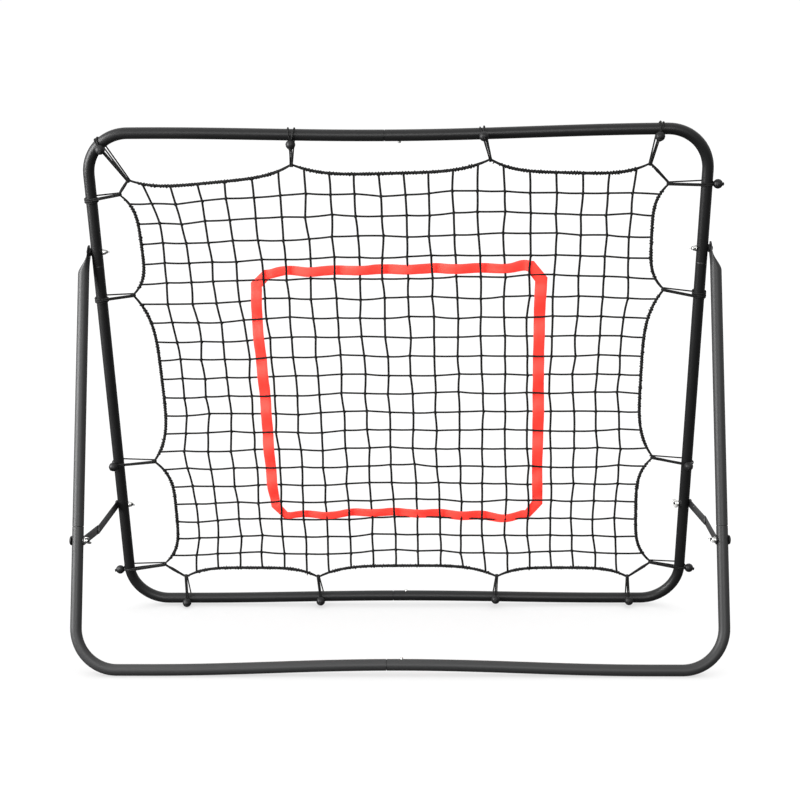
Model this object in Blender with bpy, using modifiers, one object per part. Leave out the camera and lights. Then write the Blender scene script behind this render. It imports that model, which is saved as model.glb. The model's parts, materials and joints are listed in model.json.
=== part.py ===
"""Soccer rebound net: a leaning tube frame with a net on elastic ties, propped by a folding leg frame.

Metres, +Z up. The player stands at -Y. The part stands on z = 0, centred on X and Y.
Each of the two tube frames is drawn flat, with x across it, y up it and z towards the player, and is
then leaned by the empty that carries it.
"""
import math

import bmesh
import bpy
from mathutils import Matrix, Vector

# Driving dimensions

# The net frame, between tube axes
net_width = 1.178
net_height = 1.0274
net_lean = math.radians(14.0)
pivot_up = 0.7917
stay_bolt_up = 0.231
side_seam_up = 0.765

# The leg frame
leg_lean = math.radians(16.74)
leg_bolt_up = 0.2445
leg_seam_up = 0.271

# The tubes, all alike
tube_diameter = 0.022
tube_wall = 0.001
bend_radius = 0.080
foot_length = 0.060
top_bar_bow = 0.0085
bottom_bar_bow = 0.0055
floor_bar_bow = 0.0100
bar_seam_x = -0.022
spigot_length = 0.050
shoulder_length = 0.001

# The flattened upper end of a leg
flat_thickness = 0.0036
flat_width = 0.031
flat_above_bolt = 0.013
flat_below_bolt = 0.0045
flare_length = 0.040

# Clearances
fit_gap = 0.0003
bolt_clearance = 0.0003
cord_clearance = 0.0004
knot_clearance = 0.0019

# The fasteners
bolt_diameter = 0.006
head_diameter = 0.018
head_height = 0.0046
pivot_head_diameter = 0.0088
pivot_head_height = 0.0024
bolt_end_past_nut = 0.003
nut_base_diameter = 0.012
nut_top_diameter = 0.0096
nut_height = 0.007
nut_rim_height = 0.0015
wing_span = 0.029
wing_reach = 0.0115
wing_thickness = 0.0020
wing_flare = math.radians(18.0)
wing_foot = 0.0012
wing_rounding = 0.0028
wing_root_depth = 0.0008
spacer_wall = 0.0045

# The folding stays
link_thickness = 0.0012
link_width = 0.018
short_link_length = 0.118
rivet_diameter = 0.008
stay_bend = 0.0085

# The snap buttons and their springs
button_diameter = 0.006
button_from_seam = 0.028
button_proud = 0.0035
button_crown = 0.0003
button_edge = 0.0016
collar_diameter = 0.0080
collar_thickness = 0.0012
spring_width = 0.0070
spring_thickness = 0.0006
spring_length = 0.032
spring_end = 0.0055

# The net, its rope and the ribbon
strand_diameter = 0.0030
rope_diameter = 0.0045
top_strands = (4, 6, 4)
side_strands = (4, 6, 4)
top_sag = 0.07
side_sag = 0.12
bottom_sag = 0.08
sag_power = 4
ribbon_width = 0.0245
ribbon_thickness = 0.0010
ribbon_left_cell = 3.25
ribbon_right_cell = 11.75
ribbon_top_cell = 3.35
ribbon_bottom_cell = 12.6
ribbon_corner_cut = 0.008

# The elastic ties
cord_diameter = 0.0026
ball_diameter = 0.018

# Each tie, clockwise from the top left corner as the player sees it: the frame's side, its place on the
# rope, its reach from the tube's axis to the rope, how far along the side it leans on its way to the tube,
# and where its ball sits round the tube (0 towards the net, 90 in front). A place along a bar is a share of
# its half length. One up a side runs from 0 at the bottom bar through 1 at the pivot to 2 at the top.
TIES = (
    ("top", -0.874, 0.091, -0.048, 70),
    ("top", -0.340, 0.063, 0.002, 40),
    ("top", 0.302, 0.056, -0.013, 90),
    ("top", 0.815, 0.066, 0.015, 60),
    ("right", 1.550, 0.071, 0.000, 165),
    ("right", 0.893, 0.069, -0.012, 255),
    ("right", 0.428, 0.070, -0.011, 92),
    ("right", 0.113, 0.061, -0.009, 165),
    ("bottom", 0.815, 0.052, 0.004, 78),
    ("bottom", 0.341, 0.053, -0.003, 78),
    ("bottom", -0.311, 0.052, 0.005, 90),
    ("bottom", -0.796, 0.053, 0.001, 90),
    ("left", 0.107, 0.075, -0.008, 165),
    ("left", 0.420, 0.074, -0.003, 113),
    ("left", 0.886, 0.063, -0.006, 255),
    ("left", 1.493, 0.054, -0.008, 255),
)

# The bend of a snap button's spring, as shares of its length and of its height over or under the tube's axis
SPRING_BEND = ((0.55, 0.85), (0.9, 0.35), (1.0, 0.1), (0.96, -0.2), (0.7, -0.8), (0.35, -1.0))
SPRING_CORNER = math.cos(math.pi / 6)

# Where an upper leg has its rings, as shares of its plate's round end and of its flare
PLATE_RINGS = (0, 0.12, 0.35, 0.65, 1.0)
FLARE_RINGS = (0, 0.25, 0.5, 0.75, 1.0)
PLATE_TIP = 0.12

# How far the wing nuts of each joint are turned about their bolts, left and right, in degrees
NUT_TURNS = {"pivot": (94, 86), "leg": (50, 94), "stay": (68, 68)}

# The rows of a bolt's dome, in degrees from its top, and how near the rope's middle line, in strands, a
# corner of the lattice counts as the rope's
DOME_ROWS = (0, 30, 60, 90)
ROPE_REACH = 0.8

# Mesh fineness
TUBE_SIDES = 10
CORD_RESOLUTION = 1
BEND_STEPS = 5
BAR_STEPS = 4
ROUND_STEPS = 12
LOOP_FAR_STEPS = 5
LOOP_NEAR_STEPS = 3
LINK_END_STEPS = 8
BALL_SEGMENTS = 8
BALL_RINGS = 6
RELAX_ROUNDS = 400

# Sizes worked out from the driving dimensions

tube_radius = tube_diameter / 2
cord_radius = cord_diameter / 2
half_net = net_width / 2
spigot_radius = tube_radius - tube_wall - fit_gap
side_gap = 3 * fit_gap + 2 * link_thickness
half_leg = half_net + tube_diameter + side_gap
net_flank = half_net + tube_radius
leg_flank = half_leg - tube_radius
loop_corner = math.cos(math.pi / LOOP_FAR_STEPS / 2)
loop_radius = (tube_radius + cord_clearance + cord_radius) / loop_corner

# The net frame's bottom bar stands on the cords of its ties, the floor bar on its own tube
net_foot = loop_radius + cord_radius
floor_foot = tube_radius * math.cos(math.pi / TUBE_SIDES)
pivot_height = net_foot + pivot_up * math.cos(net_lean)
leg_length = (pivot_height - floor_foot) / math.cos(leg_lean)
foot_spread = pivot_up * math.sin(net_lean) + leg_length * math.sin(leg_lean)
net_foot_y = foot_spread / 2 + (tube_radius - net_foot) / 2


def frame_matrix(origin, x_axis, y_axis):
    """A placement from its origin and two of its square axes."""
    x_axis = Vector(x_axis).normalized()
    y_axis = Vector(y_axis).normalized()
    turn = Matrix((x_axis, y_axis, x_axis.cross(y_axis))).transposed().to_4x4()
    return Matrix.Translation(Vector(origin)) @ turn


net_up = Vector((0, -math.sin(net_lean), math.cos(net_lean)))
leg_up = Vector((0, math.sin(leg_lean), math.cos(leg_lean)))
NET_PLANE = frame_matrix((0, net_foot_y, net_foot), (1, 0, 0), net_up)
pivot_centre = NET_PLANE @ Vector((0, pivot_up, 0))
LEG_PLANE = frame_matrix(pivot_centre, (1, 0, 0), leg_up)
floor_bar_y = -leg_length
stay_bolt = NET_PLANE @ Vector((0, stay_bolt_up, 0))
leg_bolt = LEG_PLANE @ Vector((0, floor_bar_y + leg_bolt_up, 0))
stay_span = stay_bolt - leg_bolt
short_link_run = math.sqrt(short_link_length ** 2 - stay_bend ** 2)
long_link_length = math.hypot(stay_span.length - short_link_run, stay_bend)


# Scene, materials and placing

def clear_scene():
    for old in list(bpy.data.objects):
        bpy.data.objects.remove(old)


def make_collection(name):
    group = bpy.data.collections.new(name)
    bpy.context.scene.collection.children.link(group)
    return group


def make_material(name, colour, roughness, metallic=0.0):
    material = bpy.data.materials.new(name)
    material.use_nodes = True
    shader = material.node_tree.nodes["Principled BSDF"]
    shader.inputs["Base Color"].default_value = (*colour, 1)
    shader.inputs["Roughness"].default_value = roughness
    shader.inputs["Metallic"].default_value = metallic
    return material


clear_scene()
PART = make_collection("soccer_rebound_net")
CUTTERS = make_collection("cutters")
black_coat = make_material("black_powder_coat", (0.012, 0.012, 0.013), 0.45)
grey_coat = make_material("grey_powder_coat", (0.045, 0.046, 0.048), 0.42)
black_steel = make_material("black_steel", (0.02, 0.02, 0.021), 0.38, 0.6)
zinc = make_material("zinc_plate", (0.62, 0.62, 0.60), 0.32, 1.0)
spring_steel = make_material("spring_steel", (0.45, 0.45, 0.46), 0.3, 1.0)
net_cord = make_material("net_cord", (0.014, 0.014, 0.015), 0.85)
elastic_cord = make_material("elastic_cord", (0.016, 0.016, 0.017), 0.8)
red_tape = make_material("red_tape", (0.92, 0.045, 0.025), 0.6)


def make_plane(name, placement):
    """An empty that carries the pieces drawn in its plane."""
    plane = bpy.data.objects.new(name, None)
    plane.matrix_world = placement
    PART.objects.link(plane)
    return plane


net_frame = make_plane("net_frame_plane", NET_PLANE)
leg_frame = make_plane("leg_frame_plane", LEG_PLANE)


def place(piece, carrier, placement=None):
    """Parent a piece to what carries it, at a placement in the carrier's own axes."""
    piece.parent = carrier
    piece.matrix_basis = placement or Matrix.Identity(4)
    return piece


def place_in_world(piece, carrier, placement):
    """Parent a piece to the empty that carries it, at a placement in the world."""
    return place(piece, carrier, carrier.matrix_world.inverted() @ placement)


def as_cutter(name, mesh, placement=None):
    """A guide for a Boolean, left out of the part."""
    cutter = bpy.data.objects.new(name, mesh)
    cutter.matrix_world = placement or Matrix.Identity(4)
    cutter.hide_render = True
    cutter.display_type = "WIRE"
    CUTTERS.objects.link(cutter)
    return cutter


# Shapes

def finished(name, mesh, material):
    """A new object in the part's collection, shaded smooth but for its sharp edges."""
    mesh.materials.clear()
    mesh.materials.append(material)
    mesh.shade_smooth()
    mesh.set_sharp_from_angle(angle=math.radians(40))
    piece = bpy.data.objects.new(name, mesh)
    PART.objects.link(piece)
    return piece


def curve_mesh(curve):
    """The welded mesh of a curve, which is then removed."""
    guide = bpy.data.objects.new("guide", curve)
    PART.objects.link(guide)
    graph = bpy.context.evaluated_depsgraph_get()
    mesh = bpy.data.meshes.new_from_object(guide.evaluated_get(graph))
    shape = bmesh.new()
    shape.from_mesh(mesh)
    bmesh.ops.remove_doubles(shape, verts=shape.verts, dist=1e-6)
    shape.to_mesh(mesh)
    shape.free()
    bpy.data.objects.remove(guide)
    return mesh


def poly_curve(points, radius, resolution, scales=None, tilt=0.0, loop=False):
    """A round tube along points, open at its ends."""
    curve = bpy.data.curves.new("path", "CURVE")
    curve.dimensions = "3D"
    curve.bevel_depth = radius
    curve.bevel_resolution = resolution
    spline = curve.splines.new("POLY")
    spline.points.add(len(points) - 1)
    for index, point in enumerate(points):
        spline.points[index].co = (*point, 1)
        spline.points[index].tilt = tilt
        spline.points[index].radius = scales[index] if scales else 1.0
    spline.use_cyclic_u = loop
    return curve


def add_boolean(piece, other, operation="DIFFERENCE"):
    cut = piece.modifiers.new(operation.lower(), "BOOLEAN")
    cut.operation = operation
    cut.object = other
    return piece


def turned(name, profile, material, steps=ROUND_STEPS):
    """A turned piece about its z axis, from (radius, height) points down its outer side."""
    mesh = bpy.data.meshes.new(name)
    shape = bmesh.new()
    corners = [shape.verts.new((radius, 0, height)) for radius, height in profile]
    for one, other in zip(corners, corners[1:]):
        shape.edges.new((one, other))
    if profile[0][0] > 0:
        shape.edges.new((corners[-1], corners[0]))
    shape.to_mesh(mesh)
    shape.free()
    piece = finished(name, mesh, material)
    screw = piece.modifiers.new("turn", "SCREW")
    screw.steps = steps
    screw.render_steps = steps
    screw.use_merge_vertices = True
    screw.merge_threshold = 0.00001
    return piece


def cutter_cylinder(name, radius, length, placement):
    """A round cutter whose axis is its own z axis."""
    mesh = bpy.data.meshes.new(name)
    shape = bmesh.new()
    bmesh.ops.create_cone(
        shape, cap_ends=True, segments=ROUND_STEPS, radius1=radius, radius2=radius, depth=length)
    shape.to_mesh(mesh)
    shape.free()
    return as_cutter(name, mesh, placement)


def strip(name, points, across, material, width, thickness, closed=False):
    """A flat strip along points, whose breadth lies along the unit vectors in across."""
    count = len(points)
    mesh = bpy.data.meshes.new(name)
    shape = bmesh.new()
    bmesh.ops.create_grid(shape, x_segments=count - 1 + closed, y_segments=1, size=1)
    shape.verts.ensure_lookup_table()
    for vert in shape.verts:
        station = round((vert.co.x + 1) / 2 * (count - 1 + closed)) % count
        side = width / 2 if vert.co.y > 0 else -width / 2
        vert.co = Vector(points[station]) + side * Vector(across[station])
    bmesh.ops.remove_doubles(shape, verts=shape.verts, dist=1e-6)
    shape.to_mesh(mesh)
    shape.free()
    piece = finished(name, mesh, material)
    thicken = piece.modifiers.new("thickness", "SOLIDIFY")
    thicken.thickness = thickness
    thicken.offset = 0
    thicken.use_even_offset = True
    return piece


# Tubes

def bow_at(x, bow, reach):
    """How far a bar has drawn in at x: nothing past its reach, all of its bow at the middle."""
    if abs(x) >= reach:
        return 0.0
    return bow * (1 + math.cos(math.pi * x / reach)) / 2


def bar_y(side, x):
    """The height of a bar's axis in its frame's plane."""
    if side == "top":
        return net_height - bow_at(x, top_bar_bow, half_net - bend_radius)
    if side == "bottom":
        return bow_at(x, bottom_bar_bow, half_net - bend_radius - foot_length)
    return floor_bar_y + bow_at(x, floor_bar_bow, half_leg - bend_radius - foot_length)


def corner_path(side, half, hand, side_points):
    """Axis points from the heights of side_points, round the corner and along the bar to its seam."""
    into = -1 if side == "top" else 1
    y_bar = bar_y(side, half)
    centre_x = hand * (half - bend_radius)
    centre_y = y_bar + into * bend_radius
    points = [(hand * half, y, 0) for y in side_points]
    for step in range(BEND_STEPS + 1):
        turn = math.pi / 2 * step / BEND_STEPS
        points.append((centre_x + hand * bend_radius * math.cos(turn),
                       centre_y - into * bend_radius * math.sin(turn), 0))
    start = half - bend_radius
    if side != "top":
        start -= foot_length
        points.append((hand * start, y_bar, 0))
    inner_stop = bar_seam_x - shoulder_length
    outer_stop = bar_seam_x + spigot_length
    stop = inner_stop if hand < 0 else outer_stop
    stations = [hand * start + (stop - hand * start) * step / BAR_STEPS for step in range(1, BAR_STEPS + 1)]
    if hand > 0:
        stations.append(bar_seam_x + fit_gap)
    return points + [(x, bar_y(side, x), 0) for x in stations]


def with_spigot(points, side):
    """Add the shoulder and the reduced end that slide into the next tube of a bar."""
    scales = [1.0] * len(points)
    for x in (bar_seam_x, bar_seam_x + spigot_length):
        points.append((x, bar_y(side, x), 0))
        scales.append(spigot_radius / tube_radius)
    return scales


def make_tube(name, points, material, carrier, turn, scales=None):
    """A hollow tube along points. Its profile is turned so that one of its flats faces the floor."""
    hand = 1 if points[0][0] > 0 else -1
    rising = points[1][1] > points[0][1]
    tilt = (turn + math.pi / TUBE_SIDES) * (-hand if rising else hand)
    resolution = TUBE_SIDES // 2 - 2
    mesh = curve_mesh(poly_curve(points, tube_radius, resolution, scales, tilt))
    tube = finished(name, mesh, material)
    wall = tube.modifiers.new("wall", "SOLIDIFY")
    wall.thickness = tube_wall
    wall.offset = -1
    wall.use_even_offset = True
    return place(tube, carrier)


def flatten_end(tube, hand):
    """Press the top of an upper leg into a plate whose inner face is flush with the tube's flank."""
    top = flat_above_bolt
    plate_x = hand * (leg_flank + flat_thickness / 2)
    for vert in tube.data.vertices:
        down = top - vert.co.y
        press = 1 - min(max((down - flat_above_bolt - flat_below_bolt) / flare_length, 0), 1)
        press = press * press * (3 - 2 * press)
        off_axis = vert.co.x - hand * half_leg
        thin = flat_thickness / tube_diameter
        vert.co.x += press * (plate_x + off_axis * thin - vert.co.x)
        broad = flat_width / tube_diameter
        round_end = flat_width / 2
        tip = 1.0
        if down < round_end:
            tip = math.sqrt(max(1 - ((round_end - down) / round_end) ** 2, PLATE_TIP))
        vert.co.z *= 1 + press * (broad * tip - 1)


def upper_leg_points():
    """Axis points of an upper leg's plate and flare, from its top down."""
    top = flat_above_bolt
    round_end = flat_width / 2
    ys = [top - round_end * share for share in PLATE_RINGS]
    return ys + [-flat_below_bolt - flare_length * share for share in FLARE_RINGS]


def make_tubes():
    """The eight tubes, each with its seam end: outer ends keep a gap to the shoulder of the inner ones."""
    tubes = {}
    for hand, word in ((-1, "left"), (1, "right")):
        path = corner_path("top", half_net, hand, [side_seam_up + fit_gap])
        scales = with_spigot(path, "top") if hand < 0 else None
        name = f"net_frame_tube_top_{word}"
        tubes[name] = make_tube(name, path, black_coat, net_frame, net_lean, scales)

        side = [side_seam_up + spigot_length, side_seam_up, side_seam_up - shoulder_length]
        path = corner_path("bottom", half_net, hand, side)
        scales = [1.0] * len(path)
        if hand < 0:
            scales = with_spigot(path, "bottom")
        scales[0] = scales[1] = spigot_radius / tube_radius
        name = f"net_frame_tube_bottom_{word}"
        tubes[name] = make_tube(name, path, black_coat, net_frame, net_lean, scales)

        seam_y = floor_bar_y + leg_seam_up
        path = corner_path("floor", half_leg, hand, [seam_y - fit_gap])
        scales = with_spigot(path, "floor") if hand < 0 else None
        name = f"leg_tube_lower_{word}"
        tubes[name] = make_tube(name, path, grey_coat, leg_frame, -leg_lean, scales)

        ys = upper_leg_points() + [seam_y + shoulder_length, seam_y, seam_y - spigot_length]
        path = [(hand * half_leg, y, 0) for y in ys]
        scales = [1.0] * (len(path) - 2) + [spigot_radius / tube_radius] * 2
        name = f"leg_tube_upper_{word}"
        tubes[name] = make_tube(name, path, grey_coat, leg_frame, -leg_lean, scales)
        flatten_end(tubes[name], hand)
    return tubes


def along_x(centre):
    """A placement whose z axis lies along +X."""
    return frame_matrix(centre, (0, 0, -1), (0, 1, 0))


def drill_bolt_holes(tubes):
    """Cross holes for the pivot, leg and stay bolts, each drilled through every tube that it passes."""
    hole_radius = bolt_diameter / 2 + bolt_clearance
    length = 3 * tube_diameter
    through = {
        "pivot": (pivot_centre, ("net_frame_tube_top", "net_frame_tube_bottom", "leg_tube_upper")),
        "leg": (leg_bolt, ("leg_tube_lower", "leg_tube_upper")),
        "stay": (stay_bolt, ("net_frame_tube_bottom",)),
    }
    for hand, word in ((-1, "left"), (1, "right")):
        middle = Vector((hand * (half_net + half_leg) / 2, 0, 0))
        for joint, (centre, names) in through.items():
            cutter = cutter_cylinder(
                f"{joint}_hole_{word}", hole_radius, length, along_x(centre + middle))
            for name in names:
                add_boolean(tubes[f"{name}_{word}"], cutter)


# Fasteners

def outward(hand, centre, x):
    """A placement at x whose z axis points away from the middle of the part."""
    return frame_matrix((hand * x, centre.y, centre.z), (0, 0, -hand), (0, 1, 0))


def bolt_profile(length, across, height):
    """A domed head, so far across and so high, above z = 0, and a plain shank of a length below it."""
    dome = [(across / 2 * math.sin(turn), height * math.cos(turn)) for turn in map(math.radians, DOME_ROWS)]
    dome[0] = (0, height)
    shank = bolt_diameter / 2
    return dome + [(shank, 0), (shank, -length), (0, -length)]


def make_bolt(name, hand, centre, head_x, nut_x, head, carrier):
    """A bolt from its head's seat, outside, to a little past its nut, inside."""
    length = head_x - nut_x + nut_height + bolt_end_past_nut
    bolt = turned(name, bolt_profile(length, *head), black_steel)
    return place_in_world(bolt, carrier, outward(hand, centre, head_x))


def wing_mesh():
    """One wing of a wing nut: it flares upwards from its root in the nut's body and has rounded corners."""
    root = nut_top_diameter / 2 - wing_root_depth
    long = wing_span / 2 - root
    rise = math.tan(wing_flare) * long
    mesh = bpy.data.meshes.new("wing")
    shape = bmesh.new()
    bmesh.ops.create_cube(shape, size=1)
    for vert in shape.verts:
        outer = vert.co.x > 0
        upper = vert.co.z > 0
        vert.co.x = root + (long if outer else 0)
        vert.co.y *= wing_thickness
        vert.co.z = (wing_reach - rise if upper else wing_foot) + (rise if outer else 0)
    tip_edges = [edge for edge in shape.edges if all(vert.co.x > root for vert in edge.verts)
                 and abs(edge.verts[0].co.y - edge.verts[1].co.y) > wing_thickness / 2]
    bmesh.ops.bevel(shape, geom=tip_edges, offset=wing_rounding, segments=2, profile=0.5, affect="EDGES")
    shape.to_mesh(mesh)
    shape.free()
    return mesh


def make_wing_nut(name, hand, centre, seat_x, turn, carrier):
    """A wing nut whose base is at seat_x and whose wings reach inward, turned about its bolt."""
    bore = bolt_diameter / 2 + bolt_clearance
    base = nut_base_diameter / 2
    top = nut_top_diameter / 2
    profile = [(bore, nut_height), (top, nut_height), (base, nut_rim_height), (base, 0), (bore, 0)]
    nut = turned(name, profile, zinc)
    seat = frame_matrix((hand * seat_x, centre.y, centre.z), (0, 0, hand), (0, 1, 0))
    placement = seat @ Matrix.Rotation(turn, 4, "Z")
    for side in (0, math.pi):
        wing = as_cutter(f"{name}_wing", wing_mesh(), placement @ Matrix.Rotation(side, 4, "Z"))
        add_boolean(nut, wing, "UNION")
    return place_in_world(nut, carrier, placement)


def make_fasteners():
    """The bolts with their wing nuts, and the spacers that keep the two frames apart at the pivots."""
    inner_seat = net_flank - tube_diameter - fit_gap
    link_seat = leg_flank - 2 * fit_gap - link_thickness
    plate_face = leg_flank + flat_thickness + fit_gap
    leg_face = half_leg + tube_radius + fit_gap
    link_face = net_flank + 2 * fit_gap + link_thickness
    bore = bolt_diameter / 2 + bolt_clearance
    spacer_length = side_gap - 2 * fit_gap
    high_head = head_diameter, head_height
    low_head = pivot_head_diameter, pivot_head_height
    for hand, word in ((-1, "left"), (1, "right")):
        joints = (
            ("pivot", pivot_centre, plate_face, inner_seat, net_frame),
            ("leg", leg_bolt, leg_face, link_seat, leg_frame),
            ("stay", stay_bolt, link_face, inner_seat, net_frame),
        )
        for joint, centre, head_x, nut_x, carrier in joints:
            turn = math.radians(NUT_TURNS[joint][hand > 0])
            head = low_head if joint == "pivot" else high_head
            make_bolt(f"{joint}_bolt_{word}", hand, centre, head_x, nut_x, head, carrier)
            make_wing_nut(f"{joint}_wing_nut_{word}", hand, centre, nut_x, turn, carrier)
        outer = bore + spacer_wall
        profile = [(bore, spacer_length), (outer, spacer_length), (outer, 0), (bore, 0)]
        spacer = turned(f"pivot_spacer_{word}", profile, black_steel)
        place_in_world(spacer, net_frame, outward(hand, pivot_centre, net_flank + fit_gap))


# Folding stays

def link_curve(length, hole_radii):
    """A flat link with round ends and a hole at each end, drawn along x from the first hole."""
    curve = bpy.data.curves.new("link", "CURVE")
    curve.dimensions = "2D"
    curve.fill_mode = "BOTH"
    curve.extrude = link_thickness / 2

    def ring(points):
        spline = curve.splines.new("POLY")
        spline.points.add(len(points) - 1)
        for target, (x, y) in zip(spline.points, points):
            target.co = (x, y, 0, 1)
        spline.use_cyclic_u = True

    outline = []
    for centre, start in ((length, -90), (0, 90)):
        for step in range(LINK_END_STEPS + 1):
            turn = math.radians(start + 180 * step / LINK_END_STEPS)
            outline.append((centre + link_width / 2 * math.cos(turn), link_width / 2 * math.sin(turn)))
    ring(outline)
    for centre, radius in zip((0, length), hole_radii):
        turns = [2 * math.pi * step / ROUND_STEPS for step in range(ROUND_STEPS)]
        ring([(centre + radius * math.cos(turn), radius * math.sin(turn)) for turn in turns])
    return curve


def make_stays():
    """A short link on each leg bolt, a long one on each stay bolt, and the two halves of their rivet.

    The left stay hangs a little below the line between its bolts and the right one stands above it.
    """
    bolt_hole = bolt_diameter / 2 + bolt_clearance
    rivet_hole = rivet_diameter / 2 + fit_gap
    along = stay_span.normalized()
    above = Vector((1, 0, 0)).cross(along)
    short_x = leg_flank - fit_gap - link_thickness / 2
    long_x = net_flank + fit_gap + link_thickness / 2
    for hand, word in ((-1, "left"), (1, "right")):
        joint = leg_bolt + along * short_link_run + above * hand * stay_bend
        links = (
            ("short", leg_bolt, short_link_length, short_x),
            ("long", stay_bolt, long_link_length, long_x),
        )
        for size, bolt, length, x in links:
            direction = (joint - bolt).normalized()
            breadth = Vector((1, 0, 0)).cross(direction)
            mesh = curve_mesh(link_curve(length, (bolt_hole, rivet_hole)))
            link = finished(f"stay_link_{size}_{word}", mesh, black_steel)
            link.matrix_world = frame_matrix((hand * x, bolt.y, bolt.z), direction, breadth)
            half = link_thickness / 2
            disc = [(0, half), (rivet_diameter / 2, half), (rivet_diameter / 2, -half), (0, -half)]
            rivet = turned(f"stay_rivet_{size}_{word}", disc, zinc)
            place(rivet, link, Matrix.Translation((length, 0, 0)))


# Snap buttons

def make_snap_buttons(tubes):
    """A button through each bar seam, with the V-shaped spring inside that pushes it out."""
    button_x = bar_seam_x + button_from_seam
    bars = (
        ("top", "top", -1, net_frame, "net_frame_tube_top"),
        ("bottom", "bottom", 1, net_frame, "net_frame_tube_bottom"),
        ("floor", "floor", 1, leg_frame, "leg_tube_lower"),
    )
    inside = spigot_radius - tube_wall
    collar_radius = collar_diameter / 2
    pin = button_diameter / 2
    corner = math.cos(math.pi / TUBE_SIDES)
    collar_top = math.sqrt(inside ** 2 - collar_radius ** 2) * corner - fit_gap
    collar_foot = collar_top - collar_thickness
    tip = tube_radius + button_proud
    for word, side, sense, carrier, stem in bars:
        profile = [(0, tip), (pin / 2, tip - button_crown), (pin, tip - button_edge), (pin, collar_top),
                   (collar_radius, collar_top), (collar_radius, collar_foot), (0, collar_foot)]
        axis_y = bar_y(side, button_x)
        placement = frame_matrix((button_x, axis_y, 0), (1, 0, 0), (0, 0, -sense))
        button = turned(f"snap_button_{word}", profile, zinc)
        place(button, carrier, placement)

        hole = cutter_cylinder(
            f"snap_hole_{word}", pin + bolt_clearance, tube_diameter,
            carrier.matrix_world @ placement @ Matrix.Translation((0, 0, tube_radius)))
        for hand in ("left", "right"):
            add_boolean(tubes[f"{stem}_{hand}"], hole)

        leaf = collar_foot - fit_gap - spring_thickness / 2
        wall = -(inside * SPRING_CORNER - fit_gap - spring_thickness / 2)
        points = [(spring_end, 0, leaf), (-spring_end, 0, leaf)]
        points += [(-spring_length * reach, 0, (leaf if height > 0 else -wall) * height)
                   for reach, height in SPRING_BEND]
        points.append((spring_end, 0, wall))
        spring = strip(f"snap_spring_{word}", points, [(0, 1, 0)] * len(points),
                       spring_steel, spring_width, spring_thickness)
        place(spring, carrier, placement)


# The net

def side_point(side, along):
    """A point of the net frame's tube axis and the direction of the tube there."""

    def axis(value):
        if side in ("top", "bottom"):
            past = abs(value) - (half_net - bend_radius)
            inward = -1 if side == "top" else 1
            rise = bend_radius - math.sqrt(bend_radius ** 2 - past ** 2) if past > 0 else 0
            return Vector((value, bar_y(side, value) + inward * rise, 0))
        hand = -1 if side == "left" else 1
        past = max(bend_radius - value, value - (net_height - bend_radius))
        rise = bend_radius - math.sqrt(bend_radius ** 2 - past ** 2) if past > 0 else 0
        return Vector((hand * (half_net - rise), value, 0))

    step = 0.001
    return axis(along), (axis(along + step) - axis(along - step)).normalized()


def tie_points():
    """For each tie, its point on the tube's axis, the tube's direction there and its point on the rope."""
    found = []
    for side, share, reach, drift, _ in TIES:
        if side in ("top", "bottom"):
            along = share * half_net
            rope = Vector((along, reach if side == "bottom" else net_height - reach, 0))
        else:
            along = pivot_up * min(share, 1) + (net_height - pivot_up) * max(share - 1, 0)
            hand = -1 if side == "left" else 1
            rope = Vector((hand * (half_net - reach), along, 0))
        tube_point, direction = side_point(side, along + drift)
        found.append((tube_point, direction, rope))
    return found


def rope_run(one, other, count, sag):
    """The ends of the strands between two ties, on a rope that draws in between them."""
    chord = other - one
    inward = Vector((chord.y, -chord.x, 0)).normalized()
    points = []
    for index in range(count):
        share = (index + 0.5) / count
        drawn = sag * chord.length * (1 - abs(2 * share - 1) ** sag_power)
        points.append(one + chord * share + inward * drawn)
    return points


def rope_side(knots, counts, sag):
    """All the strand ends along one side of the net, whose ties are at the knots in clockwise order."""
    points = []
    for index, count in enumerate(counts):
        points += rope_run(knots[index], knots[index + 1], count, sag)
    return points


def relaxed_net(knots):
    """The net's crossings by column and row from the top left, with the rope's points outermost."""
    columns = sum(top_strands) + 1
    rows = sum(side_strands) + 1
    top = rope_side(knots[0:4], top_strands, top_sag)
    right = rope_side(knots[4:8], side_strands, side_sag)
    bottom = rope_side(knots[8:12], top_strands[::-1], bottom_sag)[::-1]
    left = rope_side(knots[12:16], side_strands[::-1], side_sag)[::-1]
    grid = [[None] * (rows + 1) for _ in range(columns + 1)]
    grid[0][0], grid[columns][0] = knots[0], knots[3]
    grid[columns][rows], grid[0][rows] = knots[8], knots[11]
    for column in range(1, columns):
        grid[column][0], grid[column][rows] = top[column - 1], bottom[column - 1]
    for row in range(1, rows):
        grid[0][row], grid[columns][row] = left[row - 1], right[row - 1]
    for column in range(1, columns):
        for row in range(1, rows):
            grid[column][row] = grid[0][row].lerp(grid[columns][row], column / columns)
    for _ in range(RELAX_ROUNDS):
        for column in range(1, columns):
            for row in range(1, rows):
                grid[column][row] = (grid[column - 1][row] + grid[column + 1][row]
                                     + grid[column][row - 1] + grid[column][row + 1]) / 4
    return grid


def nearest_on_rope(point, rope):
    """The nearest point to a given one on the closed rope."""
    best = None
    for one, other in zip(rope, rope[1:] + rope[:1]):
        run = other - one
        share = min(max((point - one).dot(run) / run.length_squared, 0), 1)
        spot = one + run * share
        if best is None or (spot - point).length < (best - point).length:
            best = spot
    return best


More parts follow.
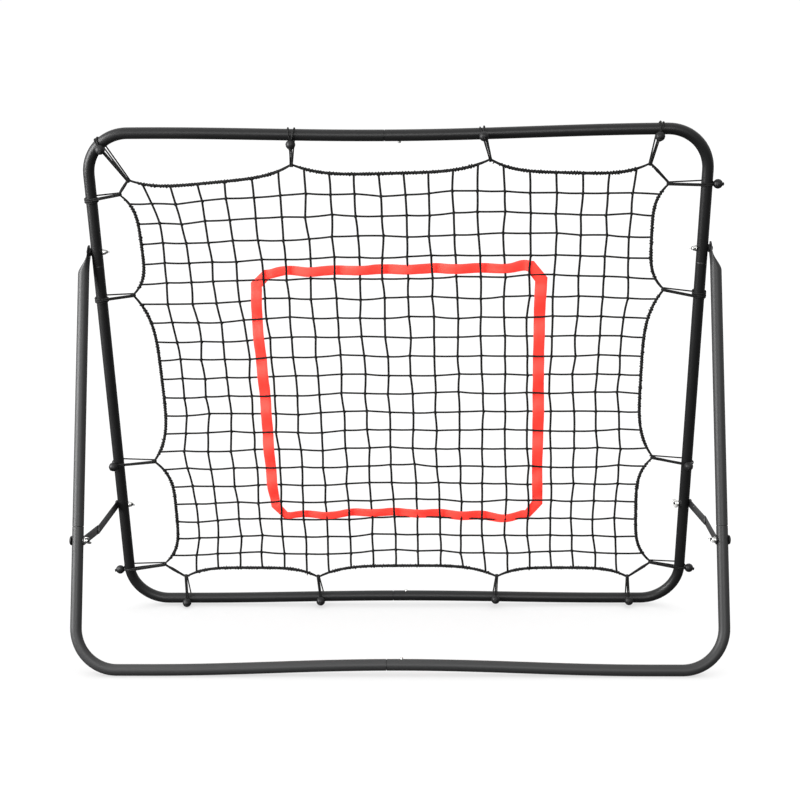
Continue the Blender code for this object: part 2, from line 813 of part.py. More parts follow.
def make_net(grid, knots):
    """A flat lattice: the grid's edges are bevelled into strips, the cells between them are taken out."""
    columns, rows = len(grid) - 1, len(grid[0]) - 1
    margin = tube_diameter
    shape = bmesh.new()
    bmesh.ops.create_grid(shape, x_segments=columns + 2, y_segments=rows + 2, size=1)
    at = {}
    for vert in shape.verts:
        column = round((vert.co.x + 1) / 2 * (columns + 2)) - 1
        row = rows - (round((vert.co.y + 1) / 2 * (rows + 2)) - 1)
        inner = grid[min(max(column, 0), columns)][min(max(row, 0), rows)]
        vert.co = inner.copy()
        if not (0 <= column <= columns and 0 <= row <= rows):
            shift = Vector((column - min(max(column, 0), columns), min(max(row, 0), rows) - row, 0))
            vert.co += shift * margin
        at[(column, row)] = vert

    def split_at(one, other, spot):
        edge = next(edge for edge in at[one].link_edges if edge.other_vert(at[one]) is at[other])
        _, vert = bmesh.utils.edge_split(edge, at[one], 0.5)
        vert.co = spot
        return vert

    side_knots = {
        (0, 0): ((0, 1), knots[15]), (columns, 0): ((columns, 1), knots[4]),
        (columns, rows): ((columns, rows - 1), knots[7]), (0, rows): ((0, rows - 1), knots[12]),
    }
    for corner, (neighbour, spot) in side_knots.items():
        split_at(corner, neighbour, spot)
    for index, knot in ((1, top_strands[0]), (2, top_strands[0] + top_strands[1])):
        split_at((knot, 0), (knot + 1, 0), knots[index])
        split_at((knot, rows), (knot + 1, rows), knots[11 - index])
    for index, knot in ((1, side_strands[0]), (2, side_strands[0] + side_strands[1])):
        split_at((columns, knot), (columns, knot + 1), knots[4 + index])
        split_at((0, knot), (0, knot + 1), knots[15 - index])

    outside = {vert for (column, row), vert in at.items()
               if not (0 <= column <= columns and 0 <= row <= rows)}
    strands = [edge for edge in shape.edges if not outside.intersection(edge.verts)]
    made = bmesh.ops.bevel(
        shape, geom=strands, offset=strand_diameter / 2, offset_type="OFFSET", segments=1,
        profile=0.5, affect="EDGES", clamp_overlap=False)
    keep = set(made["faces"])
    gone = [face for face in shape.faces if face not in keep]
    bmesh.ops.delete(shape, geom=gone, context="FACES")

    rope = rope_loop(grid, knots)
    shape.verts.index_update()
    thick = []
    for vert in shape.verts:
        spot = nearest_on_rope(vert.co, rope)
        if (vert.co - spot).length < strand_diameter * ROPE_REACH:
            vert.co = spot + (vert.co - spot) * rope_diameter / strand_diameter
            thick.append(vert.index)
    mesh = bpy.data.meshes.new("net")
    shape.to_mesh(mesh)
    shape.free()
    net = finished("net", mesh, net_cord)
    group = net.vertex_groups.new(name="rope")
    group.add(thick, 1.0, "REPLACE")
    thicken = net.modifiers.new("thickness", "SOLIDIFY")
    thicken.thickness = rope_diameter
    thicken.offset = 0
    thicken.vertex_group = "rope"
    thicken.thickness_vertex_group = strand_diameter / rope_diameter
    return place(net, net_frame)


def rope_loop(grid, knots):
    """The border rope's points, clockwise from the first tie."""
    columns, rows = len(grid) - 1, len(grid[0]) - 1
    top = [grid[column][0] for column in range(1, columns)]
    right = [grid[columns][row] for row in range(1, rows)]
    bottom = [grid[column][rows] for column in range(columns - 1, 0, -1)]
    left = [grid[0][row] for row in range(rows - 1, 0, -1)]
    loop = []
    sides = ((top, top_strands), (right, side_strands), (bottom, top_strands[::-1]),
             (left, side_strands[::-1]))
    for index, (points, counts) in enumerate(sides):
        loop.append(knots[4 * index])
        done = 0
        for part, count in enumerate(counts):
            loop += points[done:done + count]
            done += count
            loop.append(knots[4 * index + part + 1])
    return loop


def net_at(grid, column, row):
    """The point of the relaxed net at a place between its crossings."""
    left, above = int(column), int(row)
    share_x, share_y = column - left, row - above
    upper = grid[left][above].lerp(grid[left + 1][above], share_x)
    lower = grid[left][above + 1].lerp(grid[left + 1][above + 1], share_x)
    return upper.lerp(lower, share_y)


def make_ribbon(grid):
    """A flat tape woven through the net: in front of one strand, behind the next, with cut corners."""
    weave = strand_diameter / 2 + cord_clearance + ribbon_thickness / 2
    left, right = ribbon_left_cell, ribbon_right_cell
    top, bottom = ribbon_top_cell, ribbon_bottom_cell
    corners = [(left, top), (right, top), (right, bottom), (left, bottom)]
    stations = []
    for one, other in zip(corners, corners[1:] + corners[:1]):
        start, end = net_at(grid, *one), net_at(grid, *other)
        along = (end - start).normalized()
        stations.append((start + along * ribbon_corner_cut, 0))
        level = one[1] == other[1]
        first, last = (one[0], other[0]) if level else (one[1], other[1])
        low, high = math.ceil(min(first, last)), math.floor(max(first, last))
        crossings = list(range(low, high + 1))
        if last < first:
            crossings.reverse()
        for crossing in crossings:
            spot = (crossing, one[1]) if level else (one[0], crossing)
            stations.append((net_at(grid, *spot), weave if crossing % 2 else -weave))
        stations.append((end - along * ribbon_corner_cut, 0))
    flat = [spot for spot, _ in stations]
    across = []
    for index, spot in enumerate(flat):
        into = (spot - flat[index - 1]).normalized()
        out = (flat[(index + 1) % len(flat)] - spot).normalized()
        middle = (into + out).normalized()
        across.append(Vector((-middle.y, middle.x, 0)) / middle.dot(out))
    points = [spot + Vector((0, 0, lift)) for spot, lift in stations]
    ribbon = strip("target_ribbon", points, across, red_tape, ribbon_width, ribbon_thickness, closed=True)
    return place(ribbon, net_frame)


# Elastic ties

def make_ties(ties):
    """Each tie is one loop of cord round the tube and the rope, closed by a ball that bears on the tube."""
    near_corner = math.cos(math.pi / LOOP_NEAR_STEPS / 2)
    near_radius = (rope_diameter / 2 + knot_clearance + cord_radius) / near_corner
    for number, (tube_point, direction, rope) in enumerate(ties, start=1):
        towards = rope - tube_point
        reach = towards.length
        towards.normalize()
        oblique = abs(towards.cross(direction).z)
        far_radius = loop_radius / oblique
        open_angle = math.asin((far_radius - near_radius) / reach)
        points = []
        for step in range(LOOP_FAR_STEPS + 1):
            turn = math.pi / 2 - open_angle + (math.pi + 2 * open_angle) * step / LOOP_FAR_STEPS
            points.append((far_radius * math.cos(turn), 0, far_radius * math.sin(turn)))
        for step in range(LOOP_NEAR_STEPS + 1):
            turn = -math.pi / 2 + open_angle + (math.pi - 2 * open_angle) * step / LOOP_NEAR_STEPS
            points.append((reach + near_radius * math.cos(turn), 0, near_radius * math.sin(turn)))
        placement = frame_matrix(tube_point, towards, Vector((0, 0, 1)).cross(towards))
        loop = curve_mesh(poly_curve(points, cord_radius, CORD_RESOLUTION, loop=True))
        cord = place(finished(f"tie_{number:02d}", loop, elastic_cord), net_frame, placement)
        angle = math.radians(TIES[number - 1][4])
        stand_off = tube_radius / oblique + cord_clearance + ball_diameter / 2
        spot = Vector((math.cos(angle), 0, math.sin(angle))) * stand_off
        mesh = bpy.data.meshes.new("ball")
        shape = bmesh.new()
        bmesh.ops.create_uvsphere(
            shape, u_segments=BALL_SEGMENTS, v_segments=BALL_RINGS, radius=ball_diameter / 2)
        shape.to_mesh(mesh)
        shape.free()
        ball = as_cutter(f"tie_ball_{number:02d}", mesh, NET_PLANE @ placement @ Matrix.Translation(spot))
        add_boolean(cord, ball, "UNION")


def build():
    tubes = make_tubes()
    drill_bolt_holes(tubes)
    make_fasteners()
    make_stays()
    make_snap_buttons(tubes)
    ties = tie_points()
    knots = [rope for _, _, rope in ties]
    grid = relaxed_net(knots)
    make_net(grid, knots)
    make_ribbon(grid)
    make_ties(ties)


build()
print("pivot", tuple(round(v, 5) for v in pivot_centre), "leg bolt", tuple(round(v, 5) for v in leg_bolt),
      "stay bolt", tuple(round(v, 5) for v in stay_bolt), "leg length", round(leg_length, 5),
      "long link", round(long_link_length, 5))
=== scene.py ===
"""The looks of the soccer rebound net: its tubes, net, rope, ties, target tape and fittings.

Metres, +Z up. The net and everything on it is drawn flat in the net frame's own plane, with x across it,
y up it and z towards the player, and is then stood up in that plane. The legs have a plane of their own.
"""
import json
import math
import random

import bmesh
import bpy
from mathutils import Matrix, Vector, noise


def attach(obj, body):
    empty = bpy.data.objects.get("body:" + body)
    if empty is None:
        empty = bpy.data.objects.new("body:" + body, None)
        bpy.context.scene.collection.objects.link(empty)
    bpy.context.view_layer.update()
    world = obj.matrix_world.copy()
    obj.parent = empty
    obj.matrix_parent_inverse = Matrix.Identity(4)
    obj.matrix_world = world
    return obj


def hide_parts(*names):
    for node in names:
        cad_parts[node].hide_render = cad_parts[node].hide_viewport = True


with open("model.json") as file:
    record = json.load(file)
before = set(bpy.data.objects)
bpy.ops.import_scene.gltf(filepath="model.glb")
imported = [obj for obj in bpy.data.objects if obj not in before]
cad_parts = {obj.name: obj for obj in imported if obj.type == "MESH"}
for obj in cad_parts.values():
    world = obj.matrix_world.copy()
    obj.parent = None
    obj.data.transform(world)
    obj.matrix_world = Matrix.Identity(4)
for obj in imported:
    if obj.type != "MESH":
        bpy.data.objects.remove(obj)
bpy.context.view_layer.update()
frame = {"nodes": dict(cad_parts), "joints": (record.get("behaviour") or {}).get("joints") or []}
joints = {joint["name"]: joint for joint in frame["joints"]}

# Sizes of the frames, between tube axes

net_width = 1.178
net_height = 1.0274
pivot_up = 0.7917
side_seam_up = 0.765
leg_seam_up = 0.271
net_foot = 0.01465

# The tubes

tube_diameter = 0.022
tube_wall = 0.001
bend_radius = 0.080
foot_length = 0.060
top_bar_bow = 0.0085
bottom_bar_bow = 0.0055
floor_bar_bow = 0.0100
bar_seam_x = -0.022
spigot_length = 0.050
seam_groove = 0.0018
lip_radius = 0.0006
fit_gap = 0.0003
flat_thickness = 0.0036
flat_width = 0.031
flat_above_bolt = 0.013
flat_below_bolt = 0.0045
flare_length = 0.040
least_tip_width = 0.05
plate_steps = 14
tube_sides = 40
long_run = 0.03
holding_ring_gap = 0.0015

# The fittings

bolt_diameter = 0.006
head_diameter = 0.018
head_height = 0.0046
pivot_head_diameter = 0.0088
pivot_head_height = 0.0024
bolt_end_past_nut = 0.003
thread_pitch = 0.0010
thread_length = 0.0055
nut_height = 0.007
nut_base_diameter = 0.012
nut_top_diameter = 0.0096
wing_span = 0.029
wing_reach = 0.0115
wing_thickness = 0.0020
spacer_wall = 0.0045
link_thickness = 0.0012
link_width = 0.018
short_link_length = 0.118
stay_bend = 0.0085
rivet_diameter = 0.008
button_diameter = 0.006
button_from_seam = 0.028
button_proud = 0.0035
button_stem = 0.0045
button_flange = 0.001
button_round = 0.0016
edge_break = 0.0003
edge_round = 0.0006
thread_steps = 14
thread_end = 0.0007
wing_ear_radius = 0.0046
wing_root_radius = 0.0026
wing_root_up = 0.0042
link_sides = 48
link_edge_round = 0.00025

# The net and its border rope

strand_diameter = 0.0044
knot_diameter = 0.0030
rope_diameter = 0.0054
lashing_diameter = 0.0024
top_strands = (6, 8, 6)
side_strands = (5, 9, 6)
top_sags = (0.066, 0.060, 0.075)
right_sags = (0.135, 0.095, 0.135)
bottom_sags = (0.080, 0.072, 0.080)
left_sags = (0.148, 0.100, 0.145)
sag_power = 4
slack = 0.0024
drift_seed = 1795683010
chance_seed = 11
strand_wander = 0.0007
relaxing_rounds = 600
lashing_pitch = 0.0058
lashing_steps = 9
tuft_count = 90
tuft_lengths = (0.0035, 0.0065)

# The net's sides, clockwise from its top left corner: how many strands end on each of a side's three runs of
# rope, and how far each run draws in, as a share of its length.
NET_SIDES = (
    (top_strands, top_sags),
    (side_strands, right_sags),
    (top_strands[::-1], bottom_sags),
    (side_strands[::-1], left_sags),
)

# The target tape, and the net's cells that its four sides run along, from the net's top left corner

tape_thickness = 0.0009
tape_left = 4.6
tape_right = 16.5
tape_top = 4.72
tape_bottom = 17.68
tape_lanes = 8
tape_spacing = 0.0034
tape_fold_spacing = 0.0075
tape_easing = 0.012
tape_flutter = 0.0007
tape_curl = 0.0008
tape_ragged = 0.0006
tape_half_width_at_most = 0.02
# How far along the tape the painted shadow of a strand behind it reaches.
strand_shadow_reach = 0.0034
rib_pitch = 0.0009
warp_pitch = 0.0012
selvedge_from_middle = 0.0094
selvedge_blend = 0.0006

# The middle line of each side of the tape, clockwise from its top left corner: places across the frame and up
# it, and the tape's width there. A cut corner joins each side to the next.
TAPE_SIDES = (
    (
        (-0.2590, 0.7427, 0.0200), (-0.2189, 0.7495, 0.0195), (-0.1732, 0.7482, 0.0204),
        (-0.1083, 0.7500, 0.0199), (0.0523, 0.7523, 0.0207), (0.1598, 0.7524, 0.0207),
        (0.2124, 0.7529, 0.0200), (0.2416, 0.7574, 0.0227), (0.2591, 0.7563, 0.0223),
    ),
    (
        (0.2798, 0.7290, 0.0244), (0.2786, 0.6891, 0.0234), (0.2783, 0.6290, 0.0226),
        (0.2789, 0.5249, 0.0229), (0.2811, 0.4245, 0.0234), (0.2809, 0.3561, 0.0222),
        (0.2824, 0.2793, 0.0218), (0.2837, 0.2332, 0.0215),
    ),
    (
        (0.2636, 0.2062, 0.0187), (0.2143, 0.1965, 0.0188), (0.1680, 0.2009, 0.0215),
        (0.1217, 0.2032, 0.0211), (0.0164, 0.2087, 0.0192), (-0.0890, 0.2101, 0.0180),
        (-0.1357, 0.2049, 0.0172), (-0.2019, 0.2050, 0.0168), (-0.2458, 0.2029, 0.0160),
    ),
    (
        (-0.2662, 0.2273, 0.0190), (-0.2706, 0.2737, 0.0222), (-0.2739, 0.3579, 0.0226),
        (-0.2755, 0.4719, 0.0226), (-0.2800, 0.5758, 0.0224), (-0.2815, 0.6084, 0.0221),
        (-0.2827, 0.6514, 0.0217), (-0.2803, 0.7212, 0.0217),
    ),
)

# The elastic ties

elastic_diameter = 0.0030
ball_diameter = 0.0185
ball_hole_radius = 0.0022
ball_bead = 0.00022
wrap_gap = 0.0002
hitch_turns = 2
hitch_steps = 22
hitch_width = 0.0046
end_knot_size = 0.00085

# Each tie, clockwise from the top left corner as the player sees it: the frame's side, its place on the
# rope, its reach from the tube's axis to the rope, how far along the side it leans on its way to the tube,
# where its ball sits round the tube (0 towards the net, 90 in front), how far its two wrapped strands spread
# to either side on the tube, and how many more turns it takes round the tube. A place along a bar is a share
# of its half length. One up a side runs from 0 at the bottom bar through 1 at the pivot to 2 at the top.
TIES = (
    ("top", -0.874, 0.091, -0.048, 70, (-0.0015, 0.0040), 0),
    ("top", -0.340, 0.063, 0.002, 40, (-0.0060, 0.0060), 0),
    ("top", 0.302, 0.056, -0.013, 90, (-0.0040, 0.0040), 0),
    ("top", 0.815, 0.066, 0.015, 60, (-0.0030, 0.0030), 0),
    ("right", 1.550, 0.071, 0.000, 165, (-0.0020, 0.0085), 0),
    ("right", 0.893, 0.069, -0.012, 255, (-0.0015, 0.0090), 3),
    ("right", 0.428, 0.070, -0.011, 92, (-0.0020, 0.0110), 0),
    ("right", 0.113, 0.061, -0.009, 165, (-0.0020, 0.0085), 0),
    ("bottom", 0.815, 0.052, 0.004, 78, (-0.0040, 0.0040), 0),
    ("bottom", 0.341, 0.053, -0.003, 78, (-0.0040, 0.0040), 0),
    ("bottom", -0.311, 0.052, 0.005, 90, (-0.0040, 0.0040), 0),
    ("bottom", -0.796, 0.053, 0.001, 90, (-0.0040, 0.0040), 0),
    ("left", 0.107, 0.075, -0.008, 165, (-0.0090, 0.0020), 0),
    ("left", 0.420, 0.074, -0.003, 113, (-0.0110, 0.0030), 0),
    ("left", 0.886, 0.063, -0.006, 255, (-0.0090, 0.0015), 2),
    ("left", 1.493, 0.054, -0.008, 255, (-0.0085, 0.0015), 2),
)

# Sizes worked out from those above and from the frame

tube_radius = tube_diameter / 2
half_net = net_width / 2
side_gap = 3 * fit_gap + 2 * link_thickness
half_leg = half_net + tube_diameter + side_gap
net_flank = half_net + tube_radius
leg_flank = half_leg - tube_radius
spigot_radius = tube_radius - tube_wall - fit_gap
elastic_radius = elastic_diameter / 2

pivot = Vector(joints["leg_fold"]["pos_m"])
leg_bolt = Vector((0, *joints["short_stay_left"]["pos_m"][1:]))
stay_bolt = Vector((0, *joints["long_stay_left"]["pos_m"][1:]))
net_up = Vector(joints["button_press_top"]["axis"]).normalized()
leg_up = -Vector(joints["button_press_floor"]["axis"]).normalized()
floor_bar_y = (tube_radius * math.cos(math.pi / 10) - pivot.z) / leg_up.z


def placing(origin, x_axis, y_axis):
    """A placement from its origin and two of its square axes."""
    x_axis, y_axis = Vector(x_axis).normalized(), Vector(y_axis).normalized()
    turn = Matrix((x_axis, y_axis, x_axis.cross(y_axis))).transposed().to_4x4()
    return Matrix.Translation(Vector(origin)) @ turn


NET_PLANE = placing(pivot - net_up * pivot_up, (1, 0, 0), net_up)
LEG_PLANE = placing(pivot, (1, 0, 0), leg_up)

ACROSS = Vector((1, 0, 0))
OUT = Vector((0, 0, 1))


def crosswise(along):
    """What is square to a direction in the frame's plane."""
    return Vector((-along.y, along.x, 0))


def spoke(turn, across=ACROSS):
    """The direction at a turn round a tube or cord, from across it to out of the frame's plane."""
    return across * math.cos(turn) + OUT * math.sin(turn)


def lengths_along(points):
    """How far along a path each of its points is."""
    lengths = [0.0]
    for one, other in zip(points, points[1:]):
        lengths.append(lengths[-1] + (other - one).length)
    return lengths


# Shader maths

class Socket:
    """A shader socket that can be used in sums."""

    def __init__(self, tree, socket):
        self.tree = tree
        self.socket = socket

    @staticmethod
    def plug(tree, target, item):
        if isinstance(item, Socket):
            tree.links.new(item.socket, target)
        else:
            target.default_value = item

    def maths(self, operation, *items, clamp=False):
        node = self.tree.nodes.new("ShaderNodeMath")
        node.operation = operation
        node.use_clamp = clamp
        for target, item in zip(node.inputs, items):
            Socket.plug(self.tree, target, item)
        return Socket(self.tree, node.outputs[0])

    def __add__(self, other):
        return self.maths("ADD", self, other)

    __radd__ = __add__

    def __sub__(self, other):
        return self.maths("SUBTRACT", self, other)

    def __rsub__(self, other):
        return self.maths("SUBTRACT", other, self)

    def __mul__(self, other):
        return self.maths("MULTIPLY", self, other)

    __rmul__ = __mul__

    def sine(self):
        return self.maths("SINE", self)

    def size(self):
        return self.maths("ABSOLUTE", self)

    def clamped(self):
        return self.maths("ADD", self, 0.0, clamp=True)

    def above(self, edge, width):
        """0 below edge, 1 above edge + width, and a straight ramp between them."""
        return self.maths("DIVIDE", self - edge, width, clamp=True)


class Nodes:
    """A node tree, with one method for every node in it but the sums."""

    def __init__(self, tree):
        self.tree = tree

    def node(self, kind, settings=None, output=0, places=None, **sockets):
        """Settings and a ramp's stops are set first, then sockets by name, or by place where names repeat."""
        node = self.tree.nodes.new(kind)
        for name, value in (settings or {}).items():
            if name == "stops":
                set_stops(node.color_ramp, value)
            else:
                setattr(node, name, value)
        named = {name.replace("_", " "): item for name, item in sockets.items()}
        for socket, item in {**named, **(places or {})}.items():
            Socket.plug(self.tree, node.inputs[socket], item)
        return Socket(self.tree, node.outputs[output])


def set_stops(ramp, stops):
    """Grey stops, each a place on the ramp and a shade."""
    for stop, (place, shade) in zip(ramp.elements, (stops[0], stops[-1])):
        stop.position, stop.color = place, (shade, shade, shade, 1)
    for place, shade in stops[1:-1]:
        ramp.elements.new(place).color = (shade, shade, shade, 1)


class Finish(Nodes):
    """A material with its Principled shader."""

    def __init__(self, name):
        self.material = bpy.data.materials.new(name)
        self.material.use_nodes = True
        super().__init__(self.material.node_tree)
        self.shader = self.tree.nodes["Principled BSDF"]

    def set(self, **sockets):
        for name, item in sockets.items():
            Socket.plug(self.tree, self.shader.inputs[name.replace("_", " ")], item)

    def along_and_round(self):
        """The piece's own UV map: metres along it, and shares of a turn round it or metres across it."""
        spot = self.node("ShaderNodeUVMap", {"uv_map": "UVMap"})
        return [self.node("ShaderNodeSeparateXYZ", output=axis, Vector=spot) for axis in "XY"]

    def grain(self, scale, detail=2.0, roughness=0.5):
        spot = self.node("ShaderNodeTexCoord", output="Object")
        return self.node("ShaderNodeTexNoise", Vector=spot, Scale=scale, Detail=detail, Roughness=roughness)

    def mix(self, share, one, other):
        """A colour between two, each another socket or a red, green and blue."""
        one, other = (item if isinstance(item, Socket) else (*item, 1.0) for item in (one, other))
        return self.node("ShaderNodeMix", {"data_type": "RGBA"}, 2, {0: share, 6: one, 7: other})

    def relief(self, height, distance, strength=1.0):
        self.set(Normal=self.node("ShaderNodeBump", Height=height, Distance=distance, Strength=strength))


def powder_coat(name, colour, light, roughness, specular):
    """Satin powder coat: a fine orange peel, faint cloudiness and a few dull rubbed patches."""
    coat = Finish(name)
    peel = coat.grain(620.0, 1.0)
    cloud = coat.grain(9.0, 3.0, 0.6)
    rubs = coat.grain(26.0, 5.0, 0.7).above(0.60, 0.12)
    coat.set(Base_Color=coat.mix(cloud * 0.7 + rubs * 0.3, colour, light),
             Roughness=roughness + (cloud - 0.5) * 0.10 + rubs * 0.07 + (peel - 0.5) * 0.06,
             Specular_IOR_Level=specular)
    coat.relief(peel + coat.grain(1700.0, 0.0) * 0.35, 0.00009, 0.5)
    return coat.material


def plated_steel(name, colour, dull, roughness):
    """Zinc plate: bright metal with fine pits, clouded where it has been handled."""
    metal = Finish(name)
    cloud = metal.grain(140.0, 4.0, 0.6)
    pits = metal.grain(2600.0, 1.0)
    metal.set(Base_Color=metal.mix(cloud.above(0.35, 0.3), colour, dull), Metallic=1.0,
              Roughness=roughness + (cloud - 0.5) * 0.25)
    metal.relief(pits, 0.00008, 0.5)
    return metal.material


def black_oxide(name, colour, worn):
    """Blackened steel with worn, brighter spots."""
    steel = Finish(name)
    cloud = steel.grain(180.0, 4.0, 0.65)
    wear = cloud.above(0.64, 0.1)
    steel.set(Base_Color=steel.mix(wear, colour, worn), Metallic=wear * 0.5 + 0.35,
              Roughness=0.46 - wear * 0.12 + (steel.grain(60.0) - 0.5) * 0.12)
    steel.relief(steel.grain(1900.0, 1.0), 0.0001, 0.5)
    return steel.material


def moulded_plastic(name, colour, light):
    """Matt black plastic with a spark-eroded grain."""
    plastic = Finish(name)
    grain = plastic.grain(1500.0, 1.0)
    cloud = plastic.grain(70.0, 3.0)
    plastic.set(Base_Color=plastic.mix(cloud, colour, light), Roughness=0.46 + (cloud - 0.5) * 0.14,
                Specular_IOR_Level=0.14)
    plastic.relief(grain, 0.00012, 0.5)
    return plastic.material


def braided_cord(name, colour, crown, pitch, plaits, depth, fleck=None, roughness=0.86):
    """A plaited cord: two sets of yarns wind round it, one each way, over and under each other."""
    cord = Finish(name)
    along, turn = cord.along_and_round()
    lay, wind = along * (math.tau / pitch), turn * (math.tau * plaits)
    yarns = ((lay + wind).sine() * (lay - wind).sine()) * 0.5 + 0.5
    fuzz = cord.grain(2300.0, 3.0, 0.7)
    cloud = cord.grain(35.0, 2.0)
    crowns = (yarns * 0.7 + fuzz * 0.5 - 0.2).clamped()
    body = cord.mix(crowns * (cloud + 0.3), colour, crown)
    if fleck:
        body = cord.mix(cord.grain(900.0, 1.0).above(0.66, 0.04) * yarns, body, fleck)
    cord.set(Base_Color=body, Roughness=roughness - crowns * 0.08, Specular_IOR_Level=0.1)
    cord.relief(yarns + fuzz * 0.6, depth, 0.8)
    return cord.material


def woven_tape(name, colour, deep, pale):
    """Flat polyester tape: fine ribs across it, warp threads along it, a tighter selvedge at each edge, and
    painted strand shadows.
    """
    tape = Finish(name)
    along, across = tape.along_and_round()
    ribs = (along * (math.tau / rib_pitch)).sine() * 0.5 + 0.5
    warp = (across * (math.tau / warp_pitch)).sine() * 0.5 + 0.5
    selvedge = across.size().above(selvedge_from_middle, selvedge_blend)
    # Painted shade: the tape is darker where a strand passes behind it.
    behind = tape.node("ShaderNodeAttribute", {"attribute_name": "strand_behind"}, "Fac")
    cloud = tape.grain(30.0, 3.0, 0.6)
    thread = ribs * 0.6 + warp * 0.4
    body = tape.mix((1 - thread) * 0.3 + selvedge * 0.15 + behind * 0.25, tape.mix(cloud, colour, pale), deep)
    tape.set(Base_Color=body, Roughness=0.62 - thread * 0.08 + selvedge * 0.06, Specular_IOR_Level=0.3)
    tape.relief(thread - selvedge * 0.5 + tape.grain(1200.0) * 0.3, 0.00014, 0.6)
    return tape.material


def studio_floor(name):
    """A white light table, so the shadows on it stay faint."""
    floor = Finish(name)
    cloud = floor.grain(3.0, 2.0)
    floor.set(Base_Color=floor.mix(cloud, (0.245, 0.245, 0.245), (0.255, 0.255, 0.255)), Roughness=0.9,
              Specular_IOR_Level=0.0, Emission_Color=(1, 1, 1, 1), Emission_Strength=0.62)
    return floor.material


net_coat = powder_coat("black_powder_coat", (0.0030, 0.0030, 0.0031), (0.0052, 0.0052, 0.0054), 0.43, 0.15)
# The legs' coat is lighter than the net frame's black. This is partly their own dark grey paint and partly
# painted light for the side light that falls on the legs.
leg_coat_and_painted_light = powder_coat("grey_powder_coat", (0.0118, 0.0119, 0.0121), (0.0156, 0.0158, 0.0160), 0.48, 0.15)
zinc = plated_steel("zinc_plate", (0.44, 0.44, 0.43), (0.24, 0.24, 0.235), 0.40)
spring_steel = plated_steel("spring_steel", (0.48, 0.48, 0.49), (0.36, 0.36, 0.37), 0.28)
dark_steel = black_oxide("black_steel", (0.012, 0.012, 0.0125), (0.06, 0.06, 0.06))
black_plastic = moulded_plastic("black_plastic", (0.0028, 0.0028, 0.0030), (0.0055, 0.0055, 0.0058))
twine = braided_cord("net_twine", (0.0015, 0.0015, 0.0015), (0.008, 0.0078, 0.0078), 0.0034, 2, 0.00025)
rope_yarn = braided_cord("rope_yarn", (0.002, 0.002, 0.002), (0.010, 0.0098, 0.0098), 0.0048, 3, 0.0004)
elastic = braided_cord("tie_elastic", (0.002, 0.002, 0.002), (0.010, 0.010, 0.010), 0.0016, 4, 0.00012,
                       fleck=(0.04, 0.04, 0.04), roughness=0.7)
red_tape = woven_tape("red_tape", (0.86, 0.028, 0.018), (0.50, 0.010, 0.007), (0.90, 0.040, 0.027))


# Pieces and meshes

def finish_piece(name, mesh, material, body, replaced=(), angle=38):
    """Shade a mesh that is already in its place, and let it ride on its body."""
    mesh.materials.clear()
    mesh.materials.append(material)
    mesh.shade_smooth()
    mesh.set_sharp_from_angle(angle=math.radians(angle))
    made = bpy.data.objects.new(name, mesh)
    bpy.context.scene.collection.objects.link(made)
    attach(made, body)
    if replaced:
        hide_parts(*replaced)


def to_mesh(shape, name, placement=None):
    """End a bmesh as a mesh, in its place, with its doubles merged and its faces pointing out."""
    if placement:
        bmesh.ops.transform(shape, matrix=placement, verts=shape.verts)
    bmesh.ops.remove_doubles(shape, verts=shape.verts, dist=1e-6)
    bmesh.ops.recalc_face_normals(shape, faces=shape.faces)
    mesh = bpy.data.meshes.new(name)
    shape.to_mesh(mesh)
    shape.free()
    return mesh


def joined(meshes, name):
    """Several meshes as one."""
    shape = bmesh.new()
    for mesh in meshes:
        shape.from_mesh(mesh)
    made = bpy.data.meshes.new(name)
    shape.to_mesh(made)
    shape.free()
    return made


def lathe(profile, steps=40):
    """A shape turned about z from (radius, height) points."""
    shape = bmesh.new()
    corners = [shape.verts.new((radius, 0, height)) for radius, height in profile]
    edges = [shape.edges.new(pair) for pair in zip(corners, corners[1:])]
    if profile[0][0] > 0:
        edges.append(shape.edges.new((corners[-1], corners[0])))
    bmesh.ops.spin(shape, geom=corners + edges, cent=(0, 0, 0), axis=(0, 0, 1), angle=math.tau,
                   steps=steps, use_merge=True, use_duplicate=False)
    bmesh.ops.remove_doubles(shape, verts=shape.verts, dist=1e-6)
    return shape


def verts_of(geometry):
    return [item for item in geometry if isinstance(item, bmesh.types.BMVert)]


def swept(stations, sides):
    """A tube: a circle is extruded from one station to the next, each a placement and a radius."""
    shape = bmesh.new()
    place, radius = stations[0]
    bmesh.ops.create_circle(shape, segments=sides, radius=radius, matrix=place)
    ring = shape.edges[:]
    for (before, old), (after, new) in zip(stations, stations[1:]):
        made = bmesh.ops.extrude_edge_only(shape, edges=ring)["geom"]
        verts = verts_of(made)
        fresh = set(verts)
        ring = [item for item in made if isinstance(item, bmesh.types.BMEdge)
                and fresh.issuperset(item.verts)]
        move = after @ Matrix.Scale(new / old, 4) @ before.inverted()
        bmesh.ops.transform(shape, matrix=move, verts=verts)
    return shape, ring


